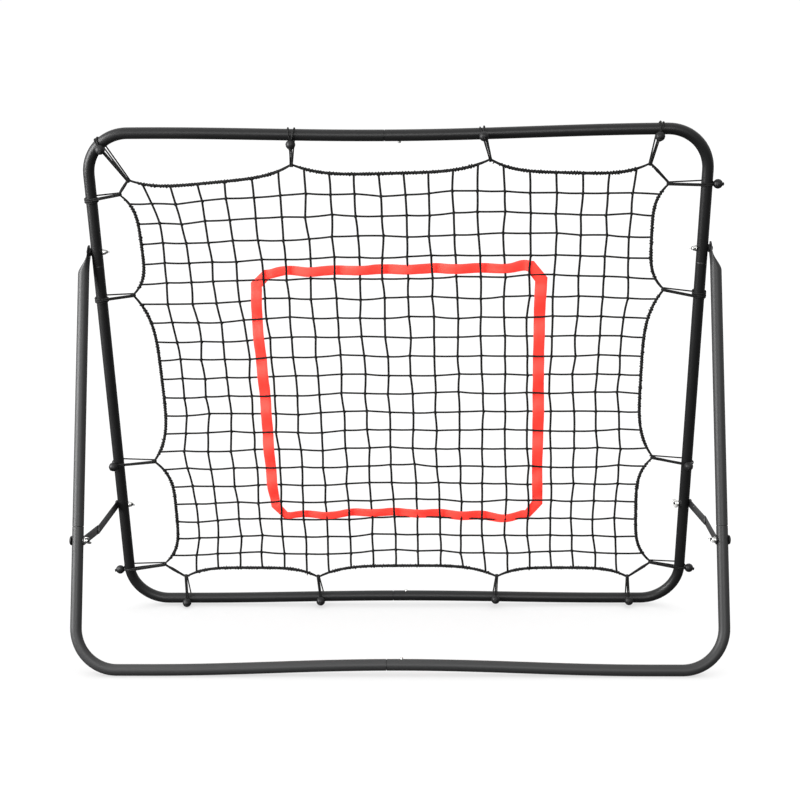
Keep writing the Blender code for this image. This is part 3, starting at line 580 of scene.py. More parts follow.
def cord_mesh(points, radius, closed=False, sides=8, swell=None):
    """A round cord along points. Its UV map is metres along it and shares of a turn round it."""
    curve = bpy.data.curves.new("cord", "CURVE")
    curve.dimensions = "3D"
    curve.bevel_depth = radius
    curve.bevel_resolution = sides // 2 - 2
    curve.use_fill_caps = not closed
    spline = curve.splines.new("POLY")
    spline.points.add(len(points) - 1)
    for index, point in enumerate(points):
        spline.points[index].co = (*point, 1)
        spline.points[index].radius = swell[index] if swell else 1.0
    spline.use_cyclic_u = closed
    guide = bpy.data.objects.new("guide", curve)
    bpy.context.scene.collection.objects.link(guide)
    graph = bpy.context.evaluated_depsgraph_get()
    mesh = bpy.data.meshes.new_from_object(guide.evaluated_get(graph))
    bpy.data.objects.remove(guide)
    stops = [*points, points[0]] if closed else points
    lengths = lengths_along(stops)
    for corner in mesh.uv_layers[0].data:
        spot = min(max(corner.uv.x, 0), 1) * (len(stops) - 1)
        low = min(int(spot), len(stops) - 2)
        corner.uv.x = lengths[low] + (spot - low) * (lengths[low + 1] - lengths[low])
    shape = bmesh.new()
    shape.from_mesh(mesh)
    bmesh.ops.remove_doubles(shape, verts=shape.verts, dist=1e-7)
    shape.to_mesh(mesh)
    shape.free()
    return mesh


def smooth_path(points, steps):
    """Points on one smooth curve through those given."""
    path = []
    for index, (one, two) in enumerate(zip(points, points[1:])):
        before = points[index - 1] if index else one * 2 - two
        after = points[index + 2] if index + 2 < len(points) else two * 2 - one
        for step in range(steps):
            t = step / steps
            path.append(0.5 * (2 * one + (two - before) * t + (2 * before - 5 * one + 4 * two - after) * t * t
                               + (3 * one - before - 3 * two + after) * t * t * t))
    return [*path, points[-1]]


# Tubes

def bow_at(x, bow, reach):
    """How far a bar stands off its straight line at x."""
    if abs(x) >= reach:
        return 0.0
    return bow * (1 + math.cos(math.pi * x / reach)) / 2


def bar_y(side, x):
    """The height of a bar's axis in its frame's plane."""
    if side == "top":
        return net_height - bow_at(x, top_bar_bow, half_net - bend_radius)
    if side == "bottom":
        return bow_at(x, bottom_bar_bow, half_net - bend_radius - foot_length)
    return floor_bar_y + bow_at(x, floor_bar_bow, half_leg - bend_radius - foot_length)


def corner_path(side, half, hand, side_points, stop):
    """Axis points from the heights of side_points, round the corner and along the bar to stop."""
    into = -1 if side == "top" else 1
    y_bar = bar_y(side, half)
    centre = Vector((hand * (half - bend_radius), y_bar + into * bend_radius, 0))
    points = [Vector((hand * half, y, 0)) for y in side_points]
    bend_steps, bar_steps = 18, 26
    for step in range(bend_steps + 1):
        turn = math.pi / 2 * step / bend_steps
        points.append(centre + Vector((hand * math.cos(turn), -into * math.sin(turn), 0)) * bend_radius)
    start = hand * (half - bend_radius)
    for step in range(1, bar_steps + 1):
        x = start + (stop - start) * step / bar_steps
        points.append(Vector((x, bar_y(side, x), 0)))
    return points


def with_holding_rings(points, radii):
    """A ring is added close to both ends of each long straight run, which keeps its shading straight."""
    held_points, held_radii = [points[0]], [radii[0]]
    for one, other, radius, next_radius in zip(points, points[1:], radii, radii[1:]):
        run = other - one
        if run.length > long_run and radius == next_radius:
            held = run.normalized() * holding_ring_gap
            held_points += [one + held, other - held]
            held_radii += [radius, radius]
        held_points.append(other)
        held_radii.append(next_radius)
    return held_points, held_radii


def tube_stations(points, radii):
    """The tube's outside with a rounded lip at each end, and its inside on the way back."""
    points, radii = with_holding_rings(points, radii)
    places = []
    for index, point in enumerate(points):
        before, after = points[max(index - 1, 0)], points[min(index + 1, len(points) - 1)]
        along = (after - before).normalized()
        places.append(placing(point, crosswise(along), (0, 0, 1)))
    out = list(zip(places, radii))
    lip_places = [(0.0, 1.0), (0.3, 0.3), (1.0, 0.0)]

    def lip(place, radius, inwards):
        return [(place @ Matrix.Translation((0, 0, inwards * lip_radius * share)), radius - lip_radius * drop)
                for share, drop in lip_places]

    first, last = out[0], out[-1]
    start = lip(*first, inwards=-1)
    end = lip(*last, inwards=1)[::-1]
    back = [(place, radius - tube_wall) for place, radius in out[::-1]]
    return start + out[1:-1] + end + back


def make_tube(name, points, radii, frame_look, press=None):
    """A tube with a wall, from its outside and back through its inside, in its frame's plane."""
    placement, material, body, slot = frame_look
    shape, last_ring = swept(tube_stations(points, radii), tube_sides)
    last = set(last_ring)
    first_ring = [edge for edge in shape.edges if edge.is_boundary and edge not in last]
    bmesh.ops.bridge_loops(shape, edges=last_ring + first_ring)
    if press:
        for vert in shape.verts:
            press(vert)
    mesh = to_mesh(shape, name, placement)
    finish_piece(f"{name}_coated", mesh, material, body, [name], angle=50)


def pressed_end(hand):
    """How the top of an upper leg is pressed into a plate whose inner face is flush with the tube's flank."""
    plate_x = hand * (leg_flank + flat_thickness / 2)
    round_end = flat_width / 2

    def press(vert):
        down = flat_above_bolt - vert.co.y
        share = 1 - min(max((down - flat_above_bolt - flat_below_bolt) / flare_length, 0), 1)
        share = share * share * (3 - 2 * share)
        off_axis = vert.co.x - hand * half_leg
        vert.co.x += share * (plate_x + off_axis * flat_thickness / tube_diameter - vert.co.x)
        tip = 1.0
        if down < round_end:
            tip = math.sqrt(max(1 - ((round_end - down) / round_end) ** 2, least_tip_width ** 2))
        vert.co.z *= 1 + share * (flat_width / tube_diameter * tip - 1)

    return press


def make_tubes():
    """Both frames' tubes: each half of a bar goes round its corner and up to a seam in the side."""
    full, slim = tube_radius, spigot_radius
    net_look = NET_PLANE, net_coat, "net_frame", "net_frame_coat"
    leg_look = LEG_PLANE, leg_coat_and_painted_light, "legs", "leg_frame_coat"
    leg_seam = floor_bar_y + leg_seam_up
    bars = (
        ("net_frame_tube_top", "top", half_net, side_seam_up, net_look),
        ("net_frame_tube_bottom", "bottom", half_net, side_seam_up, net_look),
        ("leg_tube_lower", "floor", half_leg, leg_seam, leg_look),
    )
    for hand, word in ((-1, "left"), (1, "right")):
        spigot = hand < 0
        stop = bar_seam_x + hand * seam_groove / 2
        for stem, side, half, seam, look in bars:
            seam_side = 1 if side == "top" else -1
            ends = [seam + seam_side * seam_groove / 2]
            radii = [full]
            if side == "bottom":
                ends = [seam + spigot_length, seam + lip_radius, *ends]
                radii = [slim, slim, full]
            path = corner_path(side, half, hand, ends, stop)
            radii += [full] * (len(path) - len(radii))
            if spigot:
                reach = (bar_seam_x - lip_radius, bar_seam_x + spigot_length)
                path += [Vector((x, bar_y(side, x), 0)) for x in reach]
                radii += [slim, slim]
            make_tube(f"{stem}_{word}", path, radii, look)

        shares = [step / plate_steps for step in range(plate_steps + 1)]
        round_end = flat_width / 2
        heights = [flat_above_bolt - round_end * (1 - math.cos(math.pi / 2 * share)) for share in shares]
        heights += [-flat_below_bolt - flare_length * share for share in shares]
        heights += [leg_seam + seam_groove / 2, leg_seam + lip_radius / 2, leg_seam - spigot_length]
        path = [Vector((hand * half_leg, y, 0)) for y in heights]
        radii = [full] * (len(path) - 2) + [slim, slim]
        make_tube(f"leg_tube_upper_{word}", path, radii, leg_look, pressed_end(hand))


# Fittings

def outward(hand, centre, x):
    """A placement at x whose z axis points away from the middle of the part."""
    return placing((hand * x, centre.y, centre.z), (0, 0, -hand), (0, 1, 0))


def make_bolt(name, hand, centre, head_x, nut_x, head, body):
    """A bolt with a moulded cap on its head, and its thread past the nut."""
    length = head_x - nut_x + nut_height + bolt_end_past_nut
    cap, height = head[0] / 2, head[1]
    shank = bolt_diameter / 2 - thread_pitch * 0.3
    rim = height / 4
    dome = [(cap * math.cos(math.radians(a)), rim + (height - rim) * math.sin(math.radians(a)))
            for a in (80, 68, 56, 44, 32, 20, 8)]
    shape = lathe([(0, height), *dome, (cap, rim), (cap, edge_break), (cap - 0.0004, 0), (shank, 0),
                   (shank, edge_round - length), (shank - edge_round, -length), (0, -length)])
    turns = thread_length / thread_pitch
    steps = int(turns * thread_steps)
    seat = outward(hand, centre, head_x)
    helix = []
    for step in range(steps + 1):
        turn = math.tau * turns * step / steps
        up = thread_end - length + thread_length * step / steps
        helix.append(seat @ Vector((shank * math.cos(turn), shank * math.sin(turn), up)))
    thread = cord_mesh(helix, thread_pitch * 0.42, sides=6)
    mesh = joined([to_mesh(shape, name, seat), thread], name)
    finish_piece(f"{name}_capped", mesh, black_plastic, body, [name])


def wing(side):
    """One wing of a wing nut, the hull of a broad ear and a narrow root, with rounded edges."""
    shape = bmesh.new()
    discs = (
        (wing_ear_radius, wing_span / 2 - wing_ear_radius, wing_reach - wing_ear_radius),
        (wing_root_radius, nut_top_diameter / 2 - 0.001, wing_root_up),
    )
    for y in (-wing_thickness / 2, wing_thickness / 2):
        for radius, x, z in discs:
            place = placing((side * x, y, z), (1, 0, 0), (0, 0, 1))
            bmesh.ops.create_circle(shape, segments=24, radius=radius, matrix=place)
    bmesh.ops.convex_hull(shape, input=shape.verts)
    bmesh.ops.delete(shape, geom=[edge for edge in shape.edges if not edge.link_faces], context="EDGES")
    bmesh.ops.delete(shape, geom=[vert for vert in shape.verts if not vert.link_faces], context="VERTS")
    bmesh.ops.dissolve_limit(shape, angle_limit=math.radians(2), verts=shape.verts, edges=shape.edges)
    rims = [edge for edge in shape.edges if abs(edge.verts[0].co.y - edge.verts[1].co.y) < 1e-6]
    bmesh.ops.bevel(shape, geom=rims, offset=edge_round, segments=3, profile=0.5, affect="EDGES",
                    material=-1)
    return to_mesh(shape, "wing")


def make_wing_nut(name, hand, centre, seat_x, turn, body):
    """A cast wing nut on its seat, with its wings at a turn."""
    bore = bolt_diameter / 2 + 0.0001
    base, top = nut_base_diameter / 2, nut_top_diameter / 2
    shape = lathe([(bore, nut_height), (top - edge_round, nut_height), (top, nut_height - edge_round),
                   (top + 0.0005, 0.0030), (base, 0.0015), (base, edge_break), (base - edge_break, 0),
                   (bore, 0)])
    seat = placing((hand * seat_x, centre.y, centre.z), (0, 0, hand), (0, 1, 0))
    mesh = joined([to_mesh(shape, name), wing(-1), wing(1)], name)
    mesh.transform(seat @ Matrix.Rotation(turn, 4, "Z"))
    finish_piece(f"{name}_cast", mesh, zinc, body, [name], angle=30)


def make_fittings():
    """The six bolts with their wing nuts, and the spacers at the pivots."""
    inner_seat = net_flank - tube_diameter - fit_gap
    link_seat = leg_flank - 2 * fit_gap - link_thickness
    plate_face = leg_flank + flat_thickness + fit_gap
    leg_face = half_leg + tube_radius + fit_gap
    link_face = net_flank + 2 * fit_gap + link_thickness
    high_head = head_diameter, head_height
    low_head = pivot_head_diameter, pivot_head_height
    for hand, word in ((-1, "left"), (1, "right")):
        bolts = (
            ("pivot", pivot, plate_face, inner_seat, 90 + 5 * hand, "net_frame"),
            ("leg", leg_bolt, leg_face, link_seat, 72 + 22 * hand, "legs"),
            ("stay", stay_bolt, link_face, inner_seat, 68, "net_frame"),
        )
        for joint, centre, head_x, nut_x, turn, body in bolts:
            head = low_head if joint == "pivot" else high_head
            make_bolt(f"{joint}_bolt_{word}", hand, centre, head_x, nut_x, head, body)
            make_wing_nut(f"{joint}_wing_nut_{word}", hand, centre, nut_x, math.radians(turn),
                          f"{joint}_nut_{word}")
        length = side_gap - 2 * fit_gap
        bore = bolt_diameter / 2 + fit_gap
        outer = bore + spacer_wall
        ring = lathe([(bore, length), (outer - edge_break, length), (outer, length - edge_break),
                      (outer, edge_break), (outer - edge_break, 0), (bore, 0)])
        mesh = to_mesh(ring, "spacer", outward(hand, pivot, net_flank + fit_gap))
        finish_piece(f"pivot_spacer_{word}_moulded", mesh, black_plastic, "net_frame",
                     [f"pivot_spacer_{word}"])


def flat_link(length):
    """A flat bar with round ends: a disc whose far half is drawn out, extruded and its edges broken."""
    shape = bmesh.new()
    turn = Matrix.Rotation(math.radians(180 / link_sides), 4, "Z")
    bmesh.ops.create_circle(shape, cap_ends=True, segments=link_sides, radius=link_width / 2, matrix=turn)
    far = [vert for vert in shape.verts if vert.co.x > 0]
    bmesh.ops.translate(shape, verts=far, vec=(length, 0, 0))
    bmesh.ops.translate(shape, verts=shape.verts, vec=(0, 0, -link_thickness / 2))
    made = bmesh.ops.extrude_face_region(shape, geom=shape.faces[:])["geom"]
    bmesh.ops.translate(shape, verts=verts_of(made), vec=(0, 0, link_thickness))
    rims = [edge for edge in shape.edges if abs(edge.verts[0].co.z - edge.verts[1].co.z) < 1e-7]
    bmesh.ops.bevel(shape, geom=rims, offset=link_edge_round, segments=2, profile=0.5, affect="EDGES",
                    material=-1)
    return shape


def make_stays():
    """The two stays, each a short and a long link that meet at a rivet."""
    span = stay_bolt - leg_bolt
    along = span.normalized()
    above = Vector((1, 0, 0)).cross(along)
    short_run = math.sqrt(short_link_length ** 2 - stay_bend ** 2)
    for hand, word in ((-1, "left"), (1, "right")):
        joint = leg_bolt + along * short_run + above * hand * stay_bend
        links = (
            ("short", leg_bolt, leg_flank - fit_gap - link_thickness / 2),
            ("long", stay_bolt, net_flank + fit_gap + link_thickness / 2),
        )
        for size, bolt, x in links:
            run = joint - bolt
            length, direction = run.length, run.normalized()
            place = placing((hand * x, bolt.y, bolt.z), direction, Vector((1, 0, 0)).cross(direction))
            body = f"stay_{size}_{word}"
            node = f"stay_link_{size}_{word}"
            mesh = to_mesh(flat_link(length), node, place)
            finish_piece(f"{node}_pressed", mesh, dark_steel, body, [node], angle=30)
            rivet, half = rivet_diameter / 2, link_thickness / 2
            shape = lathe([(0, half + 0.00022), (rivet * 0.5, half + 0.00018), (rivet * 0.9, half + 0.00005),
                           (rivet, half - 0.0001), (rivet, 0.0001 - half), (rivet * 0.9, -half - 0.00005),
                           (rivet * 0.5, -half - 0.00018), (0, -half - 0.00022)])
            node = f"stay_rivet_{size}_{word}"
            mesh = to_mesh(shape, node, place @ Matrix.Translation((length, 0, 0)))
            finish_piece(f"{node}_set", mesh, zinc, body, [node])


def make_buttons():
    """Domed snap buttons through the bars, and the springs that stay hidden inside them."""
    x = bar_seam_x + button_from_seam
    pin = button_diameter / 2
    tip = tube_radius + button_proud
    bars = (("top", -1, NET_PLANE), ("bottom", 1, NET_PLANE), ("floor", 1, LEG_PLANE))
    for word, sense, plane in bars:
        round_over = [(pin - button_round * (1 - math.sin(math.radians(a))),
                       tip - button_round * (1 - math.cos(math.radians(a)))) for a in (0, 20, 40, 60, 75, 90)]
        shape = lathe([(0, tip), *round_over, (pin, button_stem), (pin + button_flange, button_stem - 0.0002),
                       (pin + button_flange, button_stem - 0.0012), (0, button_stem - 0.0012)])
        place = plane @ placing((x, bar_y(word, x), 0), (1, 0, 0), (0, 0, -sense))
        finish_piece(f"snap_button_{word}_domed", to_mesh(shape, "button", place), zinc, f"button_{word}",
                     [f"snap_button_{word}"])
        spring = frame["nodes"][f"snap_spring_{word}"]
        spring.data.materials.clear()
        spring.data.materials.append(spring_steel)


# The net

def bend_rise(past):
    """How far a tube has turned inwards at a way past the start of its bend."""
    return bend_radius - math.sqrt(bend_radius ** 2 - past ** 2) if past > 0 else 0


def side_point(side, along):
    """A point of the net frame's tube axis and the direction of the tube there."""

    def axis(value):
        if side in ("top", "bottom"):
            inward = -1 if side == "top" else 1
            rise = bend_rise(abs(value) - (half_net - bend_radius))
            return Vector((value, bar_y(side, value) + inward * rise, 0))
        hand = -1 if side == "left" else 1
        rise = bend_rise(max(bend_radius - value, value - (net_height - bend_radius)))
        return Vector((hand * (half_net - rise), value, 0))

    step = 0.001
    return axis(along), (axis(along + step) - axis(along - step)).normalized()


def tie_points():
    """For each tie, its point on the tube's axis, the tube's direction there and its point on the rope."""
    found = []
    for side, share, reach, drift, *_ in TIES:
        if side in ("top", "bottom"):
            along = share * half_net
            rope = Vector((along, reach if side == "bottom" else net_height - reach, 0))
        else:
            along = pivot_up * min(share, 1) + (net_height - pivot_up) * max(share - 1, 0)
            hand = -1 if side == "left" else 1
            rope = Vector((hand * (half_net - reach), along, 0))
        tube_point, direction = side_point(side, along + drift)
        found.append((tube_point, direction, rope))
    return found


def rope_point(one, other, sag, share):
    """A point of the rope between two ties, where it draws in towards the middle of the net."""
    chord = other - one
    inward = -crosswise(chord).normalized()
    return one + chord * share + inward * sag * chord.length * (1 - abs(2 * share - 1) ** sag_power)


def rope_side(knots, counts, sags):
    """All the strand ends along one side of the net, whose ties are at the knots in clockwise order."""
    return [rope_point(knots[index], knots[index + 1], sags[index], (place + 0.5) / count)
            for index, count in enumerate(counts) for place in range(count)]


def relaxed_net(knots, chance):
    """The net's crossings by column and row, from the top left: rope points outside, slack strands inside."""
    columns, rows = sum(top_strands) + 1, sum(side_strands) + 1
    top, right, bottom, left = (rope_side(knots[4 * index:4 * index + 4], *side)
                                for index, side in enumerate(NET_SIDES))
    bottom.reverse()
    left.reverse()
    grid = [[None] * (rows + 1) for _ in range(columns + 1)]
    grid[0][0], grid[columns][0] = knots[0], knots[3]
    grid[columns][rows], grid[0][rows] = knots[8], knots[11]
    for column in range(1, columns):
        grid[column][0], grid[column][rows] = top[column - 1], bottom[column - 1]
    for row in range(1, rows):
        grid[0][row], grid[columns][row] = left[row - 1], right[row - 1]
    inside = [(column, row) for column in range(1, columns) for row in range(1, rows)]
    for column, row in inside:
        grid[column][row] = grid[0][row].lerp(grid[columns][row], column / columns)
    for _ in range(relaxing_rounds):
        for column, row in inside:
            grid[column][row] = (grid[column - 1][row] + grid[column + 1][row]
                                 + grid[column][row - 1] + grid[column][row + 1]) / 4
    for column, row in inside:
        drift = noise.noise_vector(Vector((column * 0.31, row * 0.27, 4.0)))
        kick = Vector((chance.uniform(-1, 1), chance.uniform(-1, 1), 0))
        grid[column][row] = grid[column][row] + Vector((drift.x, drift.y, 0)) * slack * 2 + kick * slack
    return grid


def strand_path(knots, lift, chance):
    """A strand through its knots: nearly straight between them, and a little to one side of the net."""
    path = []
    for one, other in zip(knots, knots[1:]):
        path.append(one + Vector((0, 0, lift)))
        along = other - one
        side = crosswise(along).normalized() * chance.uniform(-strand_wander, strand_wander)
        for share in (0.25, 0.5, 0.75):
            bulge = math.sin(math.pi * share)
            path.append(one + along * share + side * bulge + Vector((0, 0, lift * (1 - bulge * 0.6))))
    path.append(knots[-1] + Vector((0, 0, lift)))
    return path


def knot_mesh(centre, across, up):
    """A twine hitch: one short turn of twine that slants over a crossing and back behind it."""
    across, up = across.normalized(), up.normalized()
    slant = (across + up).normalized()
    other = (across - up).normalized()
    points = []
    for step in range(8):
        turn = math.tau * step / 8
        around = slant * 0.6 * math.cos(turn) + OUT * 0.75 * math.sin(turn)
        points.append(centre + around * strand_diameter + other * 0.0008 * math.sin(2 * turn))
    return cord_mesh(points, knot_diameter / 2, closed=True, sides=6)


def stand_up(name, cords, material, replaced=()):
    """Cords drawn flat, stood up in the net's plane as one piece."""
    mesh = joined(cords, name)
    mesh.transform(NET_PLANE)
    finish_piece(name, mesh, material, "net_frame", replaced)


def make_net(grid, chance):
    """The strands, those up the net in front of those across it, and a knot at each crossing."""
    columns, rows = len(grid) - 1, len(grid[0]) - 1
    reach = strand_diameter / 2 * 0.7
    strands = []
    for column in range(1, columns):
        path = strand_path([grid[column][row] for row in range(rows + 1)], reach, chance)
        strands.append(cord_mesh(path, strand_diameter / 2, sides=8))
    for row in range(1, rows):
        path = strand_path([grid[column][row] for column in range(columns + 1)], -reach, chance)
        strands.append(cord_mesh(path, strand_diameter / 2 * 0.9, sides=8))
    stand_up("net_strands", strands, twine, ["net"])
    knots = []
    for column in range(1, columns):
        for row in range(1, rows):
            across = grid[column + 1][row] - grid[column - 1][row]
            up = grid[column][row - 1] - grid[column][row + 1]
            knots.append(knot_mesh(grid[column][row], across, up if (column + row) % 2 else -up))
    stand_up("net_knots", knots, twine)


def border_spans(knots):
    """The border rope's runs from tie to tie, as fine points, with how many strands end on each."""
    spans = []
    for index, (counts, sags) in enumerate(NET_SIDES):
        for part, count in enumerate(counts):
            one, other = knots[4 * index + part], knots[4 * index + part + 1]
            steps = count * 6
            spans.append(([rope_point(one, other, sags[part], step / steps) for step in range(steps)], count))
        one, other = knots[4 * index + 3], knots[(4 * index + 4) % 16]
        spans.append(([one.lerp(other, step / 8) for step in range(8)], 0))
    return spans


def make_rope(knots, chance):
    """The border rope, and the thin cord that laces the net's edge strands to it."""
    spans = border_spans(knots)
    path = [point for span, _ in spans for point in span]
    swell = []
    for span, count in spans:
        for index, point in enumerate(span):
            share = index / len(span)
            near_tie = min(share, 1 - share) * max(count, 2)
            swell.append(0.82 + 0.28 * min(near_tie / 0.8, 1) + 0.20 * noise.noise(point * 160))
    stand_up("net_border_rope", [cord_mesh(path, rope_diameter / 2, closed=True, sides=10, swell=swell)],
             rope_yarn)
    lacing = []
    for span, count in spans:
        if not count:
            continue
        first, last = int(len(span) * 0.35 / count), int(len(span) * (1 - 0.35 / count))
        run = span[first:last + 1]
        turns = lengths_along(run)[-1] / lashing_pitch
        steps = int(turns * lashing_steps)
        points = []
        for step in range(steps + 1):
            spot = step / steps * (len(run) - 1)
            low = min(int(spot), len(run) - 2)
            centre = run[low].lerp(run[low + 1], spot - low)
            side = crosswise((run[low + 1] - run[low]).normalized())
            turn = math.tau * turns * step / steps + noise.noise(centre * 90) * 1.6
            radius = rope_diameter / 2 + lashing_diameter * (0.08 + 0.62 * noise.noise(centre * 130))
            points.append(centre + spoke(turn, side) * radius)
        lacing.append(cord_mesh(points, lashing_diameter / 2, sides=6))
    for _ in range(tuft_count):
        base = path[chance.randrange(len(path))]
        lean = Vector((chance.uniform(-1, 1), chance.uniform(-1, 1), chance.uniform(-0.6, 0.6))).normalized()
        length = chance.uniform(*tuft_lengths)
        droop = Vector((chance.uniform(-1, 1), chance.uniform(-1, 1), 0)) * 0.0012
        points = [base, base + lean * length * 0.6, base + lean * length + droop]
        lacing.append(cord_mesh(points, lashing_diameter * 0.5, sides=6, swell=[1.0, 1.0, 0.5]))
    stand_up("net_border_lacing", lacing, rope_yarn)


def net_at(grid, column, row):
    """The point of the net at a place between its crossings."""
    left, above = int(column), int(row)
    share_x, share_y = column - left, row - above
    upper = grid[left][above].lerp(grid[left + 1][above], share_x)
    lower = grid[left][above + 1].lerp(grid[left + 1][above + 1], share_x)
    return upper.lerp(lower, share_y)


def tape_crossings(grid, level, cell):
    """Where the strands cross a side of the tape, in order: along x for a level side, along y if not."""
    if level:
        return [net_at(grid, column, cell).x for column in range(1, len(grid) - 1)]
    return sorted(net_at(grid, cell, row).y for row in range(1, len(grid[0]) - 1))


def tape_stations(grid):
    """The tape's stations, close together but at its folds, and the strand crossings that it hides, where a
    strand shadow is painted on it.

    Along each side it lies in front of one strand and behind the next.
    """
    weave = strand_diameter / 2 + tape_thickness / 2 + 0.0006
    cells = (tape_top, tape_right, tape_bottom, tape_left)
    stations, hidden = [], []
    for index, side in enumerate(TAPE_SIDES):
        level = index % 2 == 0
        crossings = tape_crossings(grid, level, cells[index])
        path = smooth_path([Vector(place) for place in side], 30)
        runs = lengths_along(path)
        length = runs[-1]
        due = 0.0
        for spot, run in zip(path, runs):
            if run == length or (run >= due and (run == 0 or run < length - tape_fold_spacing)):
                at = spot.x if level else spot.y
                past = sum(1 for crossing in crossings if crossing <= at)
                one, other = crossings[max(past - 1, 0)], crossings[min(past, len(crossings) - 1)]
                share = (at - one) / (other - one) if other > one else 0.0
                lift = weave * math.cos(math.pi * share) * (1 if past % 2 else -1)
                lift *= min(run / tape_easing, (length - run) / tape_easing, 1.0)
                stations.append((Vector((spot.x, spot.y, max(lift, -weave))), spot.z))
                due = run + (tape_fold_spacing if run == 0 else tape_spacing)
        across = sum(spot.y if level else spot.x for spot in path) / len(path)
        hidden += [(crossing, across, level) for crossing in crossings[::2]]
        corner = Vector(TAPE_SIDES[(index + 1) % 4][0])
        steps = max(int((corner - path[-1]).length / tape_fold_spacing), 1)
        for step in range(1, steps):
            spot = path[-1].lerp(corner, step / steps)
            stations.append((Vector((spot.x, spot.y, 0)), spot.z))
    return stations, hidden


def make_tape(grid):
    """The red target tape: a woven strip with cut corners, whose edges curl under a little."""
    stations, hidden = tape_stations(grid)
    count, lanes = len(stations), tape_lanes
    path = [spot for spot, _ in stations]
    lengths = lengths_along([*path, path[0]])
    shape = bmesh.new()
    bmesh.ops.create_grid(shape, x_segments=count, y_segments=lanes, size=1)
    layer = shape.loops.layers.uv.new("UVMap")
    spots = {}
    for vert in shape.verts:
        station, lane = round((vert.co.x + 1) / 2 * count), round((vert.co.y + 1) / 2 * lanes)
        spots[vert] = (station, lane)
        here, width = stations[station % count]
        into, out = here - path[(station - 1) % count], path[(station + 1) % count] - here
        into.z = out.z = 0
        middle = (into.normalized() + out.normalized()).normalized()
        across = crosswise(middle) / middle.dot(out.normalized())
        share = lane / lanes - 0.5
        flutter = noise.noise(here * 30 + OUT * share * 2) * tape_flutter
        curl = -(2 * share) ** 4 * tape_curl
        ragged = noise.noise(here * 55 + OUT * share * 9) * tape_ragged * abs(2 * share)
        vert.co = here + across * (share * width + ragged) + OUT * (curl + flutter)
    for face in shape.faces:
        for loop in face.loops:
            station, lane = spots[loop.vert]
            loop[layer].uv = (lengths[station], (lane / lanes - 0.5) * stations[station % count][1])
    bmesh.ops.remove_doubles(shape, verts=shape.verts, dist=1e-6)
    bmesh.ops.solidify(shape, geom=shape.faces[:], thickness=tape_thickness)
    # A painted strand shadow: the tape is made darker over each crossing where a strand passes behind it.
    shade = shape.verts.layers.float.new("strand_behind")
    for vert in shape.verts:
        for crossing, middle, level in hidden:
            along, aside = (vert.co.x, vert.co.y) if level else (vert.co.y, vert.co.x)
            if abs(aside - middle) < tape_half_width_at_most:
                vert[shade] = max(vert[shade], 1 - abs(along - crossing) / strand_shadow_reach)
    mesh = to_mesh(shape, "tape", NET_PLANE)
    finish_piece("target_tape", mesh, red_tape, "net_frame", ["target_ribbon"])


# Ties

def tie_strand(reach, oblique, angle, spread, hand, near_radius, sink):
    """One of a tie's two strands, from its ball round the tube to the rope and back to the ball's neck."""
    wrap = (tube_radius + elastic_radius + wrap_gap + sink) / oblique
    open_back = math.acos(min((wrap - near_radius) / reach, 1))
    start, end = math.radians(angle), math.tau - open_back
    ball_out = (tube_radius + ball_diameter / 2) / oblique
    points = [spoke(start) * ball_out]
    steps = max(int((end - start) / math.radians(12)), 4)
    for step in range(1, steps + 1):
        share = step / steps
        aside = spread * math.sin(math.pi * min(share * 1.6, 1) / 2)
        points.append(spoke(start + (end - start) * share) * wrap + Vector((0, aside, 0)))
    near = Vector((reach, hand * elastic_radius * 1.05, 0))
    back, tangent = points[-1], near + spoke(end) * near_radius
    points += [back.lerp(tangent, share) for share in (0.2, 0.4, 0.6, 0.8)]
    points += [near + spoke(end + open_back * step / 3) * near_radius for step in range(7)]
    front = points[-1]
    beside = Vector((0, near.y, 0))
    if start > open_back:
        neck_turn = start - math.asin(min((ball_diameter / 2) / ball_out, 1)) * 0.72
        steps = max(int((neck_turn - open_back) / math.radians(14)), 1)
        arc = [spoke(open_back + (neck_turn - open_back) * step / steps) * wrap + beside
               for step in range(steps + 1)]
        points += [front.lerp(arc[0], share) for share in (0.25, 0.5, 0.75)] + arc
    else:
        neck = spoke(start) * (ball_out - ball_diameter * 0.3) + beside
        points += [front.lerp(neck, share) for share in (0.25, 0.5, 0.75, 1.0)]
    return points


def tie_ball(place):
    """A moulded ball with a parting line and a rounded hole for the cord."""
    radius = ball_diameter / 2
    first = math.asin(ball_hole_radius / radius)
    turns = [first + (math.pi - 2 * first) * step / 18 for step in range(19)]
    outline = [(radius * math.sin(turn), radius * math.cos(turn)) for turn in turns]
    middle = len(outline) // 2
    outline[middle:middle + 1] = [(radius, 0.0004), (radius + ball_bead, 0), (radius, -0.0004)]
    deep, wall = radius * 0.7, ball_hole_radius * 0.8
    return to_mesh(lathe([(0, deep), (wall, deep), *outline, (wall, -deep), (0, -deep)], 32), "ball", place)


def tie_knot(place, reach):
    """The turns of cord that hitch a tie to the rope."""
    radius = rope_diameter / 2 + elastic_radius * 0.9
    points = []
    for step in range(hitch_steps + 1):
        share = step / hitch_steps
        centre = Vector((reach, (share - 0.5) * hitch_width, 0))
        points.append(place @ (centre + spoke(math.tau * hitch_turns * share) * radius))
    return cord_mesh(points, elastic_radius * 0.9, sides=8)


def end_knot(seat):
    """The overhand knot that keeps the cord's ends from slipping back through the ball."""
    centre = ball_diameter / 2 + 0.0006
    points = []
    for step in range(24):
        turn = math.tau * step / 24
        x, y = math.sin(turn) + 2 * math.sin(2 * turn), math.cos(turn) - 2 * math.cos(2 * turn)
        points.append(seat @ (Vector((x, y, -math.sin(3 * turn))) * end_knot_size + OUT * centre))
    return cord_mesh(points, elastic_radius * 0.75, closed=True, sides=8)


